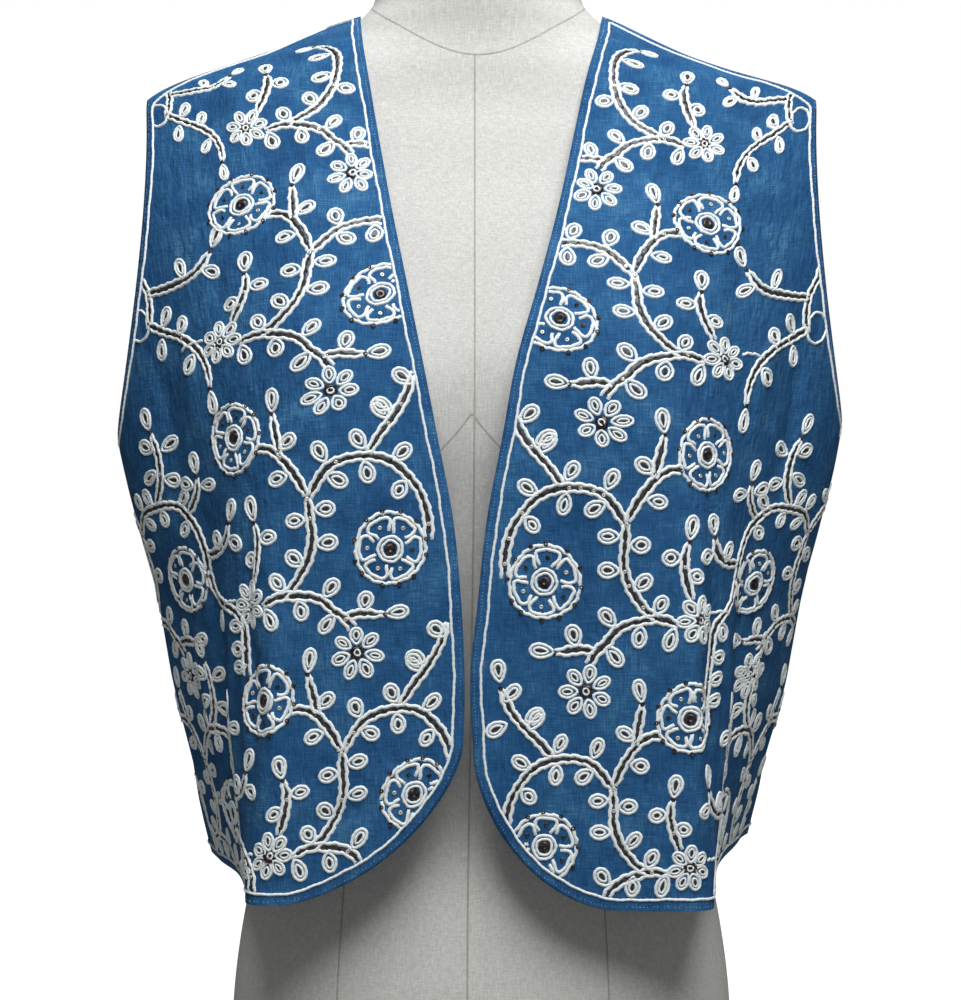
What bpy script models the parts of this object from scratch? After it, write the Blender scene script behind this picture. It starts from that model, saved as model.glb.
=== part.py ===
"""An open, collarless embroidered waistcoat, hanging on a limbless dress form.

The cloth is one body surface, read from level sections, and the two fronts and the back are cut from it
along their edges. The origin is at the middle of the form's flat underside, +Z is up and the fronts face -Y.
The table sizes are in millimetres.
"""

import math

import bmesh
import bpy
import numpy as np

MM = 0.001

# The waistcoat.
WALL = 1.6
SEAM_GAP = 0.3
HEM = 127.5
UNDERARM = 397.0
CHEST = 450.0  # above this height the panels are ruled up to the shoulder seam
SHOULDER_TIP = (207.0, 608.0)  # x and z
NECK_POINT = (75.0, 659.5)
BACK_NECK_DROP = 9.0
CREST = 668.0  # height at which the sections close over the neck

# Level sections of the worn cloth, one side. Each goes from the middle of the front, round the bust fold
# and the side seam, to the middle of the back.
SECTION_COLUMNS = (
    "z", "front_y", "near_x", "near_y", "fold_x", "fold_y", "past_x", "past_y",
    "side_x", "side_y", "rear_x", "rear_y", "back_y",
)
SECTIONS = (
    (120, -128, 105, -131, 131, -127, 137, -90, 163, 22, 171, 78, 131),
    (160, -128, 105, -131, 130, -127, 140, -91, 173, 14, 175, 78, 127),
    (200, -128, 104, -131, 129, -127, 143, -92, 180, 6, 178, 77, 124),
    (240, -127, 103, -131, 128, -126, 146, -92, 188, 0, 181, 76, 120),
    (297, -127, 101, -131, 127, -125, 150, -91, 199, -6, 186, 74, 116),
    (341, -127, 99, -131, 127, -122, 155, -88, 211, -8, 191, 72, 113),
    (397, -124, 96, -130, 128, -115, 164, -81, 225, -4, 196, 70, 111),
    (450, -117, 92, -122, 130, -106, 173, -71, 229, 0, 197, 68, 112),
    (500, -101, 88, -104, 131, -90, 178, -58, 227, 0, 196, 67, 114),
    (550, -80, 86, -81, 130, -70, 178, -43, 224, 0, 191, 61, 109),
    (585, -66, 84, -65, 126, -56, 173, -34, 218, 0, 184, 50, 100),
    (608, -56, 80, -55, 118, -47, 166, -29, 207, 0, 174, 40, 92),
    (640, -44, 56, -42, 78, -36, 104, -21, 126, 0, 110, 32, 83),
    (660, -20, 36, -19, 49, -16, 64, -9, 74, 0, 66, 20, 70),
)
# Halfway round the back, as shares of the way in from the rear and back to the middle.
HALF_BACK = {"across": 0.52, "deep": 0.86}
# The +X side lies a little closer to the form, below the chest.
SIDE_SHARE = {"right": 0.985, "left": 1.0}
# How far each shoulder sinks between its ends, and the heights over which that starts.
SHOULDER_SAG = {"right": 4.0, "left": 0.0}
SAG_FROM, SAG_FULL = 560.0, 630.0

# Where each front is cut: its edge above the rounded corner, x from the middle outwards at each height.
EDGE_COLUMNS = ("z", "right_x", "left_x")
FRONT_EDGE = (
    (224, -5, 10),
    (252, -6.5, 9.5),
    (303, -2, 11.5),
    (349, 3, 16),
    (394, 11.5, 24.5),
    (440, 20, 33.5),
    (486, 33, 43),
    (534, 45.5, 53),
    (585, 56.5, 62.5),
    (616, 63.5, 68),
    (638, 70, 72),
    (660, 75, 75),
)
# The rounded lower corner of each front: how far it runs along the hem and up the edge, and how full it is.
CORNERS = {
    "right": {"run": 83.0, "rise": 92.0, "fullness": 1.8},
    "left": {"run": 106.0, "rise": 96.0, "fullness": 1.62},
}
ARMHOLE_COLUMNS = ("z", "edge_x")
ARMHOLE = ((397, 225), (440, 217), (490, 210), (540, 206), (580, 205.5), (608, 207))

# Places along a section, which count its points from 0 at the middle of the front.
ACROSS_MIDDLE, PAST, SEAM, REAR, MIDDLE_BACK = -0.9, 3.0, 4.0, 5.0, 7.0
# How much higher the hem hangs at each side seam and at the middle of the back, and how far up it fades.
FRONT_HEM_RISE = {"right": 0.0, "left": 3.0}
HEM_RISE = {"right": 19.0, "left": 6.0, "back": 12.0}
HEM_RISE_HEIGHT = 130.0
RISE_FROM, RISE_TO = 2.2, 6.5  # the places between which the rise changes

# Soft hanging folds of the skirt: place along the section, width, depth at the hem and height where they fade.
FOLD_COLUMNS = ("place", "width", "depth", "height")
FOLDS = {
    "right": ((0.3, 0.17, 2.0, 150), (0.72, 0.15, -1.8, 190), (3.4, 0.28, -3.0, 230)),
    "left": ((0.45, 0.16, 1.8, 140), (0.8, 0.14, -1.8, 180), (3.5, 0.34, -4.0, 220)),
    "back": ((5.3, 0.22, -6.0, 230), (5.9, 0.25, 4.0, 200), (6.6, 0.3, -4.0, 170)),
}

CORNER_HEIGHT = 92.0
CORNER_ROWS = 8
SKIRT_ROWS = 8
UNDERARM_ROWS = 3
YOKE_ROWS = 11
FRONT_COLUMNS = 22
BACK_SHOULDER_COLUMNS = 9
BACK_NECK_COLUMNS = 5
LENGTH_STEPS = 161
HALVINGS = 30
SHARP_ANGLE = 50.0

# The dress form.
FORM_SEGMENTS = 40
FORM_COLUMNS = ("z", "half_width", "front", "back", "squareness")
FORM_SECTIONS = (
    (0, 150, 108, 112, 2.3),
    (8, 153, 111, 115, 2.3),
    (50, 153, 112, 116, 2.3),
    (110, 145.5, 106, 112, 2.3),
    (160, 134, 98, 102, 2.3),
    (210, 122, 92, 88, 2.3),
    (255, 116, 88, 78, 2.3),
    (300, 121, 90, 78, 2.35),
    (350, 136, 95, 86, 2.45),
    (400, 152, 100, 95, 2.5),
    (440, 161, 99, 101, 2.6),
    (480, 168, 89, 104, 2.7),
    (520, 173, 77, 104, 2.8),
    (555, 176, 65, 99, 2.8),
    (580, 175, 58, 92, 2.7),
    (598, 167, 53, 86, 2.5),
    (612, 151, 51, 81, 2.3),
    (624, 127, 50, 75, 2.15),
    (636, 100, 48.5, 67, 2.05),
    (646, 79, 48.5, 62, 2.0),
    (656, 69, 49.5, 59.5, 2.0),
    (662, 67, 50, 59, 2.0),
    (668, 65, 50, 58.5, 2.0),
    (690, 62, 50, 58, 2.0),
    (731, 60, 50, 57.5, 2.0),
    (735, 58, 48, 55.5, 2.0),
)
NECK_LEAN = {"x": -3.0, "from": 430.0, "to": 640.0}
BUST = {"x": 80.0, "z": 405.0, "wide": 44.0, "tall": 50.0, "depth": 25.0}
NECK_CAP_THICKNESS = 7.0
NECK_CAP_INSET = 3.0
NECK_CAP_BEVEL = 2.0

COTTON = {"name": "blue_cotton", "colour": (0.035, 0.13, 0.33, 1.0), "roughness": 0.85}
LINEN = {"name": "form_linen", "colour": (0.62, 0.61, 0.57, 1.0), "roughness": 0.9}
CAP_WOOD = {"name": "cap_wood", "colour": (0.55, 0.42, 0.28, 1.0), "roughness": 0.55}


def smooth(knots, values, at):
    """The values at `at` on a smooth curve through one row of values for each knot."""
    knots = np.asarray(knots, float)
    values = np.asarray(values, float)
    slopes = np.gradient(values, knots, axis=0)
    first = int(np.clip(np.searchsorted(knots, at) - 1, 0, len(knots) - 2))
    span = knots[first + 1] - knots[first]
    part = (at - knots[first]) / span
    start, end = values[first], values[first + 1]
    out, into = slopes[first] * span, slopes[first + 1] * span
    rest = 1 - part
    return (
        start * rest * rest * (1 + 2 * part)
        + end * part * part * (3 - 2 * part)
        + out * part * rest * rest
        - into * part * part * rest
    )


def ease(part):
    part = min(max(part, 0.0), 1.0)
    return part * part * (3 - 2 * part)


def below_crest(z):
    """A measure of height in which the sections change evenly, also where they close over the shoulders."""
    return math.sqrt(max(CREST - z, 1.0))


SECTION_KNOTS = [-below_crest(row[0]) for row in SECTIONS]


def section_points(z, side):
    """The points that one level section runs through, from just left of the middle front to the back."""
    row = dict(zip(SECTION_COLUMNS, smooth(SECTION_KNOTS, SECTIONS, -below_crest(z))))
    share = SIDE_SHARE[side] + (1 - SIDE_SHARE[side]) * ease((z - CHEST) / (SHOULDER_TIP[1] - CHEST))
    deeper = (row["back_y"] - row["rear_y"]) * HALF_BACK["deep"]
    half_back = (row["rear_x"] * HALF_BACK["across"], row["rear_y"] + deeper)
    half = [
        (row["near_x"], row["near_y"]),
        (row["fold_x"], row["fold_y"]),
        (row["past_x"], row["past_y"]),
        (row["side_x"], row["side_y"]),
        (row["rear_x"], row["rear_y"]),
        half_back,
    ]
    points = [(0, row["front_y"]), *half, (0, row["back_y"])]
    points = [(-half[0][0], half[0][1]), *points, (-half_back[0], half_back[1])]
    return np.array(points) * (share, 1)


def hem_lift(place, z, side):
    """How far the cloth is hitched up near the hem: nothing in front, more at the side seam and the back."""
    if place <= SEAM:
        front = FRONT_HEM_RISE[side]
        rise = front + (HEM_RISE[side] - front) * ease((place - RISE_FROM) / (SEAM - RISE_FROM))
    else:
        rest = ease((place - SEAM) / (RISE_TO - SEAM))
        rise = HEM_RISE[side] + (HEM_RISE["back"] - HEM_RISE[side]) * rest
    return rise * ease(1 - (z - HEM) / HEM_RISE_HEIGHT)


def fold_depth(place, z, side):
    depth = 0.0
    for table in (side, "back"):
        for row in FOLDS[table]:
            fold = dict(zip(FOLD_COLUMNS, row))
            near = math.exp(-(((place - fold["place"]) / fold["width"]) ** 2))
            depth += fold["depth"] * near * ease(1 - (z - HEM) / fold["height"])
    return depth


def on_section(place, z, side):
    """The plain body surface at a place along the section: 0 middle front, 4 side seam, 7 middle back."""
    points = section_points(z, side)
    steps = np.sqrt(np.linalg.norm(np.diff(points, axis=0), axis=1))
    knots = np.concatenate([[0], np.cumsum(steps)])
    index = np.clip(place + 1, 0, len(points) - 1)
    first = min(int(index), len(points) - 2)
    return smooth(knots, points, knots[first] + (index - first) * steps[first])


def shoulder_sag(x, z, side):
    along = (x - NECK_POINT[0]) / (SHOULDER_TIP[0] - NECK_POINT[0])
    hollow = math.sin(math.pi * min(max(along, 0.0), 1.0))
    return SHOULDER_SAG[side] * hollow * ease((z - SAG_FROM) / (SAG_FULL - SAG_FROM))


def smooth_point(place, z, side):
    x, y = on_section(place, z, side)
    return np.array([x, y, z + hem_lift(place, z, side) - shoulder_sag(x, z, side)])


def normal_at(place, z, side):
    along = smooth_point(place + 0.02, z, side) - smooth_point(place - 0.02, z, side)
    up = smooth_point(place, z + 1, side) - smooth_point(place, z - 1, side)
    normal = np.cross(along, up)
    return normal / np.linalg.norm(normal)


def cloth_point(place, z, side):
    """A point of the cloth's outer face and its outward normal."""
    normal = normal_at(place, z, side)
    return smooth_point(place, z, side) + normal * fold_depth(place, z, side), normal


def place_at_x(x, z, side, low, high):
    """The place along the section, between two others, where the cloth is at this x."""
    rising = on_section(high, z, side)[0] > on_section(low, z, side)[0]
    for _ in range(HALVINGS):
        middle = (low + high) / 2
        if (on_section(middle, z, side)[0] < x) == rising:
            low = middle
        else:
            high = middle
    return (low + high) / 2


def column(table, columns, name):
    return [row[columns.index(name)] for row in table]


def edge_x(z, side):
    """How far from the middle the front edge is at this height, with its rounded lower corner."""
    corner = CORNERS[side]
    heights = column(FRONT_EDGE, EDGE_COLUMNS, "z")
    edge = column(FRONT_EDGE, EDGE_COLUMNS, side + "_x")
    top = HEM + corner["rise"]
    if z >= top:
        return smooth(heights, edge, z)
    drop = min((top - z) / corner["rise"], 1.0)
    fullness = corner["fullness"]
    across = (1 - drop**fullness) ** (1 / fullness)
    return smooth(heights, edge, max(top, heights[0])) + corner["run"] * (1 - across)


def armhole_x(z):
    return smooth(column(ARMHOLE, ARMHOLE_COLUMNS, "z"), column(ARMHOLE, ARMHOLE_COLUMNS, "edge_x"), z)


def outer_place(z, side, low, high):
    """Where a panel ends: at the side seam, or higher up at the armhole's edge."""
    if z <= UNDERARM or z >= SHOULDER_TIP[1]:
        return SEAM
    return place_at_x(armhole_x(z), z, side, low, high)


def shoulder_z(x):
    run = (SHOULDER_TIP[0] - x) / (SHOULDER_TIP[0] - NECK_POINT[0])
    return SHOULDER_TIP[1] + run * (NECK_POINT[1] - SHOULDER_TIP[1])


def yoke_part(row):
    """How far up from the chest to the shoulder a row lies: closer together where the cloth turns over."""
    return 1 - (1 - row / YOKE_ROWS) ** 2


def lower_heights():
    """Row heights up to the chest: close together where the corner turns into the hem."""
    turns = [math.pi / 2 * row / CORNER_ROWS for row in range(CORNER_ROWS)]
    corner = [HEM + CORNER_HEIGHT * (1 - math.cos(turn)) for turn in turns]
    skirt = np.linspace(HEM + CORNER_HEIGHT, UNDERARM, SKIRT_ROWS)
    underarm = np.linspace(UNDERARM, CHEST, UNDERARM_ROWS + 1)[1:]
    return [*corner, *skirt, *underarm]


def even_places(start, end, z, side, count):
    """Places that divide the section from start to end into equal lengths of cloth."""
    fine = np.linspace(start, end, LENGTH_STEPS)
    points = np.array([on_section(place, z, side) for place in fine])
    run = np.concatenate([[0], np.cumsum(np.linalg.norm(np.diff(points, axis=0), axis=1))])
    return np.interp(np.linspace(0, run[-1], count), run, fine)


def front_rows(side):
    """Rows of (place, height) over one front, from its edge to the side seam or armhole."""
    rows = []
    for z in lower_heights():
        start = place_at_x(edge_x(z, side), z, side, ACROSS_MIDDLE, PAST)
        end = outer_place(z, side, PAST, SEAM)
        rows.append([(place, z) for place in even_places(start, end, z, side, FRONT_COLUMNS)])
    chest = [on_section(place, z, side)[0] for place, z in rows[-1]]
    shares = [(x - chest[0]) / (chest[-1] - chest[0]) for x in chest]
    for row in range(1, YOKE_ROWS + 1):
        part = yoke_part(row)
        inner = edge_x(CHEST + part * (NECK_POINT[1] - CHEST), side)
        outer = armhole_x(CHEST + part * (SHOULDER_TIP[1] - CHEST))
        points = []
        for count, share in enumerate(shares):
            even = count / (FRONT_COLUMNS - 1)
            top_x = NECK_POINT[0] + even * (SHOULDER_TIP[0] - NECK_POINT[0])
            z = CHEST + part * (shoulder_z(top_x) - CHEST)
            x = inner + (outer - inner) * (share + (even - share) * part)
            place = SEAM if row == YOKE_ROWS else place_at_x(x, z, side, 0.0, SEAM)
            points.append((place, z))
        rows.append(points)
    return rows


def back_half_rows(side):
    """Rows of (place, height) over half of the back, from the side seam or armhole to the middle."""
    count = BACK_SHOULDER_COLUMNS + BACK_NECK_COLUMNS + 1
    rows = []
    for z in lower_heights():
        start = outer_place(z, side, REAR, SEAM)
        rows.append([(place, z) for place in even_places(start, MIDDLE_BACK, z, side, count)])
    chest = [on_section(place, z, side)[0] for place, z in rows[-1]]
    tops = []
    for step in range(BACK_SHOULDER_COLUMNS + 1):
        x = SHOULDER_TIP[0] + (NECK_POINT[0] - SHOULDER_TIP[0]) * step / BACK_SHOULDER_COLUMNS
        tops.append((x, shoulder_z(x)))
    for step in range(1, BACK_NECK_COLUMNS + 1):
        turn = math.pi / 2 * step / BACK_NECK_COLUMNS
        tops.append((NECK_POINT[0] * math.cos(turn), NECK_POINT[1] - BACK_NECK_DROP * math.sin(turn)))
    for row in range(1, YOKE_ROWS + 1):
        part = yoke_part(row)
        outer = armhole_x(CHEST + part * (SHOULDER_TIP[1] - CHEST))
        points = []
        for (top_x, top_z), chest_x in zip(tops, chest):
            z = CHEST + part * (top_z - CHEST)
            share = chest_x / chest[0] + (top_x / SHOULDER_TIP[0] - chest_x / chest[0]) * part
            on_seam = row == YOKE_ROWS and top_x >= NECK_POINT[0]
            place = SEAM if on_seam else place_at_x(outer * share, z, side, MIDDLE_BACK, SEAM)
            points.append((place, z))
        rows.append(points)
    return rows


def open_seams(points, columns, rows):
    """Draws the given edge columns and rows of a grid of points back by half a seam gap."""
    moved = points.copy()
    for edge, inside in columns:
        inward = points[:, inside] - points[:, edge]
        length = np.linalg.norm(inward, axis=1, keepdims=True)
        moved[:, edge] += inward / length * SEAM_GAP / 2
    for edge, inside in rows:
        inward = points[inside] - points[edge]
        length = np.linalg.norm(inward, axis=1, keepdims=True)
        moved[edge] += inward / length * SEAM_GAP / 2
    return moved


def grid_faces(bm, points):
    """A sheet of quads over a grid of points, and its vertices row by row."""
    rows, columns = points.shape[:2]
    made = bmesh.ops.create_grid(bm, x_segments=columns - 1, y_segments=rows - 1, size=1.0)
    verts = made["verts"]
    for vert, point in zip(verts, points.reshape(-1, 3)):
        vert.co = point * MM
    return verts


def cloth_wall(name, outer, normals):
    """A panel of cloth: an outer and an inner sheet, joined all round their edges."""
    bm = bmesh.new()
    skins = [grid_faces(bm, outer), grid_faces(bm, outer - normals * WALL)]
    bm.verts.index_update()
    inner = set(skins[1])
    bmesh.ops.reverse_faces(bm, faces=[face for face in bm.faces if face.verts[0] in inner])
    rims = [edge for edge in bm.edges if edge.is_boundary]
    bmesh.ops.bridge_loops(bm, edges=rims)
    bmesh.ops.recalc_face_normals(bm, faces=bm.faces)
    return mesh_object(name, bm, COTTON)


def mesh_object(name, bm, finish):
    mesh = bpy.data.meshes.new(name)
    bm.to_mesh(mesh)
    bm.free()
    mesh.shade_smooth()
    mesh.set_sharp_from_angle(angle=math.radians(SHARP_ANGLE))
    mesh.materials.append(material(finish))
    made = bpy.data.objects.new(name, mesh)
    bpy.context.scene.collection.objects.link(made)
    return made


def material(finish):
    made = bpy.data.materials.get(finish["name"])
    if made:
        return made
    made = bpy.data.materials.new(finish["name"])
    made.use_nodes = True
    shader = made.node_tree.nodes["Principled BSDF"]
    shader.inputs["Base Color"].default_value = finish["colour"]
    shader.inputs["Roughness"].default_value = finish["roughness"]
    shader.inputs["Metallic"].default_value = 0.0
    return made


def sheet_points(rows, side):
    found = [[cloth_point(place, z, side) for place, z in row] for row in rows]
    points = np.array([[point for point, _ in row] for row in found])
    normals = np.array([[normal for _, normal in row] for row in found])
    return points, normals


def mirrored(points, shift=0.0):
    flipped = points * (-1, 1, 1)
    flipped[..., 0] += shift
    return flipped


def make_front(side):
    points, normals = sheet_points(front_rows(side), side)
    points = open_seams(points, columns=[(-1, -2)], rows=[(-1, -2)])
    if side == "left":
        points, normals = mirrored(points)[:, ::-1], mirrored(normals)[:, ::-1]
    return cloth_wall("front_" + side, points, normals)


def make_back():
    halves = {}
    for side in ("right", "left"):
        points, normals = sheet_points(back_half_rows(side), side)
        shoulder = range(BACK_SHOULDER_COLUMNS + 1)
        opened = open_seams(points, columns=[(0, 1)], rows=[(-1, -2)])
        points[:, 0] = opened[:, 0]
        points[-1, shoulder] = opened[-1, shoulder]
        halves[side] = (points, normals)
    left_points, left_normals = (mirrored(part)[:, ::-1] for part in halves["left"])
    points = np.concatenate([halves["right"][0][:, :-1], left_points], axis=1)
    normals = np.concatenate([halves["right"][1][:, :-1], left_normals], axis=1)
    return cloth_wall("back", points, normals)


def form_ring(z):
    """The points of one level ring round the dress form, starting at +X."""
    row = dict(zip(FORM_COLUMNS, smooth(column(FORM_SECTIONS, FORM_COLUMNS, "z"), FORM_SECTIONS, z)))
    power = 2 / row["squareness"]
    ring = []
    for step in range(FORM_SEGMENTS):
        turn = 2 * math.pi * step / FORM_SEGMENTS
        across, deep = math.cos(turn), math.sin(turn)
        x = math.copysign(abs(across) ** power, across) * row["half_width"]
        depth = row["back"] if deep > 0 else row["front"]
        y = math.copysign(abs(deep) ** power, deep) * depth
        if deep < 0:
            wide = ((abs(x) - BUST["x"]) / BUST["wide"]) ** 2
            tall = ((z - BUST["z"]) / BUST["tall"]) ** 2
            y -= BUST["depth"] * math.exp(-wide - tall) * abs(deep) ** 0.5
        lean = NECK_LEAN["x"] * ease((z - NECK_LEAN["from"]) / (NECK_LEAN["to"] - NECK_LEAN["from"]))
        ring.append(((x + lean) * MM, y * MM, z * MM))
    return ring


def move_ring(verts, ring):
    for vert, point in zip(verts, ring):
        vert.co = point


def make_dress_form():
    bm = bmesh.new()
    heights = column(FORM_SECTIONS, FORM_COLUMNS, "z")
    verts = bmesh.ops.create_circle(bm, cap_ends=True, segments=FORM_SEGMENTS, radius=1.0)["verts"]
    move_ring(verts, form_ring(heights[0]))
    edges = list(bm.edges)
    for z in heights[1:]:
        made = bmesh.ops.extrude_edge_only(bm, edges=edges)["geom"]
        edges = [part for part in made if isinstance(part, bmesh.types.BMEdge)]
        new = [part for part in made if isinstance(part, bmesh.types.BMVert)]
        by_turn = {}
        for vert in new:
            below = next(edge.other_vert(vert) for edge in vert.link_edges if edge.other_vert(vert) in verts)
            by_turn[verts.index(below)] = vert
        verts = [by_turn[turn] for turn in range(FORM_SEGMENTS)]
        move_ring(verts, form_ring(z))
        edges = [edge for edge in edges if all(vert in verts for vert in edge.verts)]
    bmesh.ops.contextual_create(bm, geom=edges)
    bmesh.ops.recalc_face_normals(bm, faces=bm.faces)
    return mesh_object("dress_form", bm, LINEN)


def make_neck_cap():
    """The plain disc that closes the neck."""
    bm = bmesh.new()
    top = FORM_SECTIONS[-1][0]
    ring = form_ring(top)
    scale = 1 - NECK_CAP_INSET / FORM_SECTIONS[-1][1]
    verts = bmesh.ops.create_circle(bm, cap_ends=True, segments=FORM_SEGMENTS, radius=1.0)["verts"]
    move_ring(verts, [(x * scale, y * scale, (top + SEAM_GAP) * MM) for x, y, _ in ring])
    lifted = bmesh.ops.extrude_face_region(bm, geom=list(bm.faces))["geom"]
    raised = [part for part in lifted if isinstance(part, bmesh.types.BMVert)]
    bmesh.ops.translate(bm, verts=raised, vec=(0, 0, NECK_CAP_THICKNESS * MM))
    bmesh.ops.recalc_face_normals(bm, faces=bm.faces)
    top_edges = [edge for edge in bm.edges if all(vert in raised for vert in edge.verts)]
    bmesh.ops.bevel(
        bm, geom=top_edges, offset=NECK_CAP_BEVEL * MM, segments=2, profile=0.5, affect="EDGES", material=-1
    )
    return mesh_object("neck_cap", bm, CAP_WOOD)


def main():
    for old in list(bpy.data.objects):
        bpy.data.objects.remove(old)
    make_front("right")
    make_front("left")
    make_back()
    make_dress_form()
    make_neck_cap()


main()
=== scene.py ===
"""An indigo cotton waistcoat worked in white chain stitch, worn by a linen dress form.

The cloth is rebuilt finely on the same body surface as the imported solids, and the sewing is laid on it.
Lengths in the tables are millimetres, and they become metres where a mesh is made. Right is a viewer's right.
The left front, the left half of the back and their sewing are worked out like the right, and mirrored last.
"""

import math
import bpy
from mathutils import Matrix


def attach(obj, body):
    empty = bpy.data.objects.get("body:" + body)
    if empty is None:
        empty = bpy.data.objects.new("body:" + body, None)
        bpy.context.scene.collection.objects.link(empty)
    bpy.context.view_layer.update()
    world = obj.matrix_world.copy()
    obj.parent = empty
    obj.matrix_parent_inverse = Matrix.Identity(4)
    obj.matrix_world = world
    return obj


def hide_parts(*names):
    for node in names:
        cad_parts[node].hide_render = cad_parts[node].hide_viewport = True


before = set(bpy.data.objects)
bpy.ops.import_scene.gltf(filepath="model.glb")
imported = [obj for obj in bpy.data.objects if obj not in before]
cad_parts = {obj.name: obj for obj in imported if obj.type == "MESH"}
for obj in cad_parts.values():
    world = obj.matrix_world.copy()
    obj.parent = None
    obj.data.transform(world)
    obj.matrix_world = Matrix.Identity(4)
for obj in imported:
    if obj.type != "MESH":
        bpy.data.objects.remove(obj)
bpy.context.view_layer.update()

from types import SimpleNamespace

import bmesh
import bpy
import numpy as np
from mathutils import Vector

MM = 0.001

# ---- The cut of the waistcoat, as its solids have it ----

HEM = 127.5
UNDERARM = 397.0
CHEST = 450.0
SHOULDER_TIP = (207.0, 608.0)  # x and z
NECK_POINT = (75.0, 659.5)
BACK_NECK_DROP = 9.0
CREST = 668.0
SEAM_GAP = 0.3

SECTION_COLUMNS = (
    "z", "front_y", "near_x", "near_y", "fold_x", "fold_y", "past_x", "past_y",
    "side_x", "side_y", "rear_x", "rear_y", "back_y",
)
SECTIONS = (
    (120, -128, 105, -131, 131, -127, 137, -90, 163, 22, 171, 78, 131),
    (160, -128, 105, -131, 130, -127, 140, -91, 173, 14, 175, 78, 127),
    (200, -128, 104, -131, 129, -127, 143, -92, 180, 6, 178, 77, 124),
    (240, -127, 103, -131, 128, -126, 146, -92, 188, 0, 181, 76, 120),
    (297, -127, 101, -131, 127, -125, 150, -91, 199, -6, 186, 74, 116),
    (341, -127, 99, -131, 127, -122, 155, -88, 211, -8, 191, 72, 113),
    (397, -124, 96, -130, 128, -115, 164, -81, 225, -4, 196, 70, 111),
    (450, -117, 92, -122, 130, -106, 173, -71, 229, 0, 197, 68, 112),
    (500, -101, 88, -104, 131, -90, 178, -58, 227, 0, 196, 67, 114),
    (550, -80, 86, -81, 130, -70, 178, -43, 224, 0, 191, 61, 109),
    (585, -66, 84, -65, 126, -56, 173, -34, 218, 0, 184, 50, 100),
    (608, -56, 80, -55, 118, -47, 166, -29, 207, 0, 174, 40, 92),
    (640, -44, 56, -42, 78, -36, 104, -21, 126, 0, 110, 32, 83),
    (660, -20, 36, -19, 49, -16, 64, -9, 74, 0, 66, 20, 70),
)
HALF_BACK = {"across": 0.52, "deep": 0.86}
SIDE_SHARE = {"right": 0.985, "left": 1.0}  # how much of a section's width each side has
SHOULDER_SAG = {"right": 4.0, "left": 0.0}
SAG_FROM, SAG_FULL = 560.0, 630.0

EDGE_COLUMNS = ("z", "right_x", "left_x")
FRONT_EDGE = (
    (224, -5, 10),
    (252, -6.5, 9.5),
    (303, -2, 11.5),
    (349, 3, 16),
    (394, 11.5, 24.5),
    (440, 20, 33.5),
    (486, 33, 43),
    (534, 45.5, 53),
    (585, 56.5, 62.5),
    (616, 63.5, 68),
    (638, 70, 72),
    (660, 75, 75),
)
CORNERS = {
    "right": {"run": 83.0, "rise": 92.0, "fullness": 1.8},
    "left": {"run": 106.0, "rise": 96.0, "fullness": 1.62},
}
ARMHOLE_COLUMNS = ("z", "edge_x")
ARMHOLE = ((397, 225), (440, 217), (490, 210), (540, 206), (580, 205.5), (608, 207))

# Places along a level section: each whole number is one of the points that it runs through.
ACROSS_MIDDLE, PAST, SEAM, REAR, MIDDLE_BACK = -0.9, 3.0, 4.0, 5.0, 7.0
FRONT_HEM_RISE = {"right": 0.0, "left": 3.0}
HEM_RISE = {"right": 19.0, "left": 6.0, "back": 12.0}
HEM_RISE_HEIGHT = 130.0
RISE_FROM, RISE_TO = 2.2, 6.5

FOLD_COLUMNS = ("place", "width", "depth", "height")
FOLDS = {
    "right": ((0.3, 0.17, 2.0, 150), (0.72, 0.15, -1.8, 190), (3.4, 0.28, -3.0, 230)),
    "left": ((0.45, 0.16, 1.8, 140), (0.8, 0.14, -1.8, 180), (3.5, 0.34, -4.0, 220)),
    "back": ((5.3, 0.22, -6.0, 230), (5.9, 0.25, 4.0, 200), (6.6, 0.3, -4.0, 170)),
}

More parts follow.
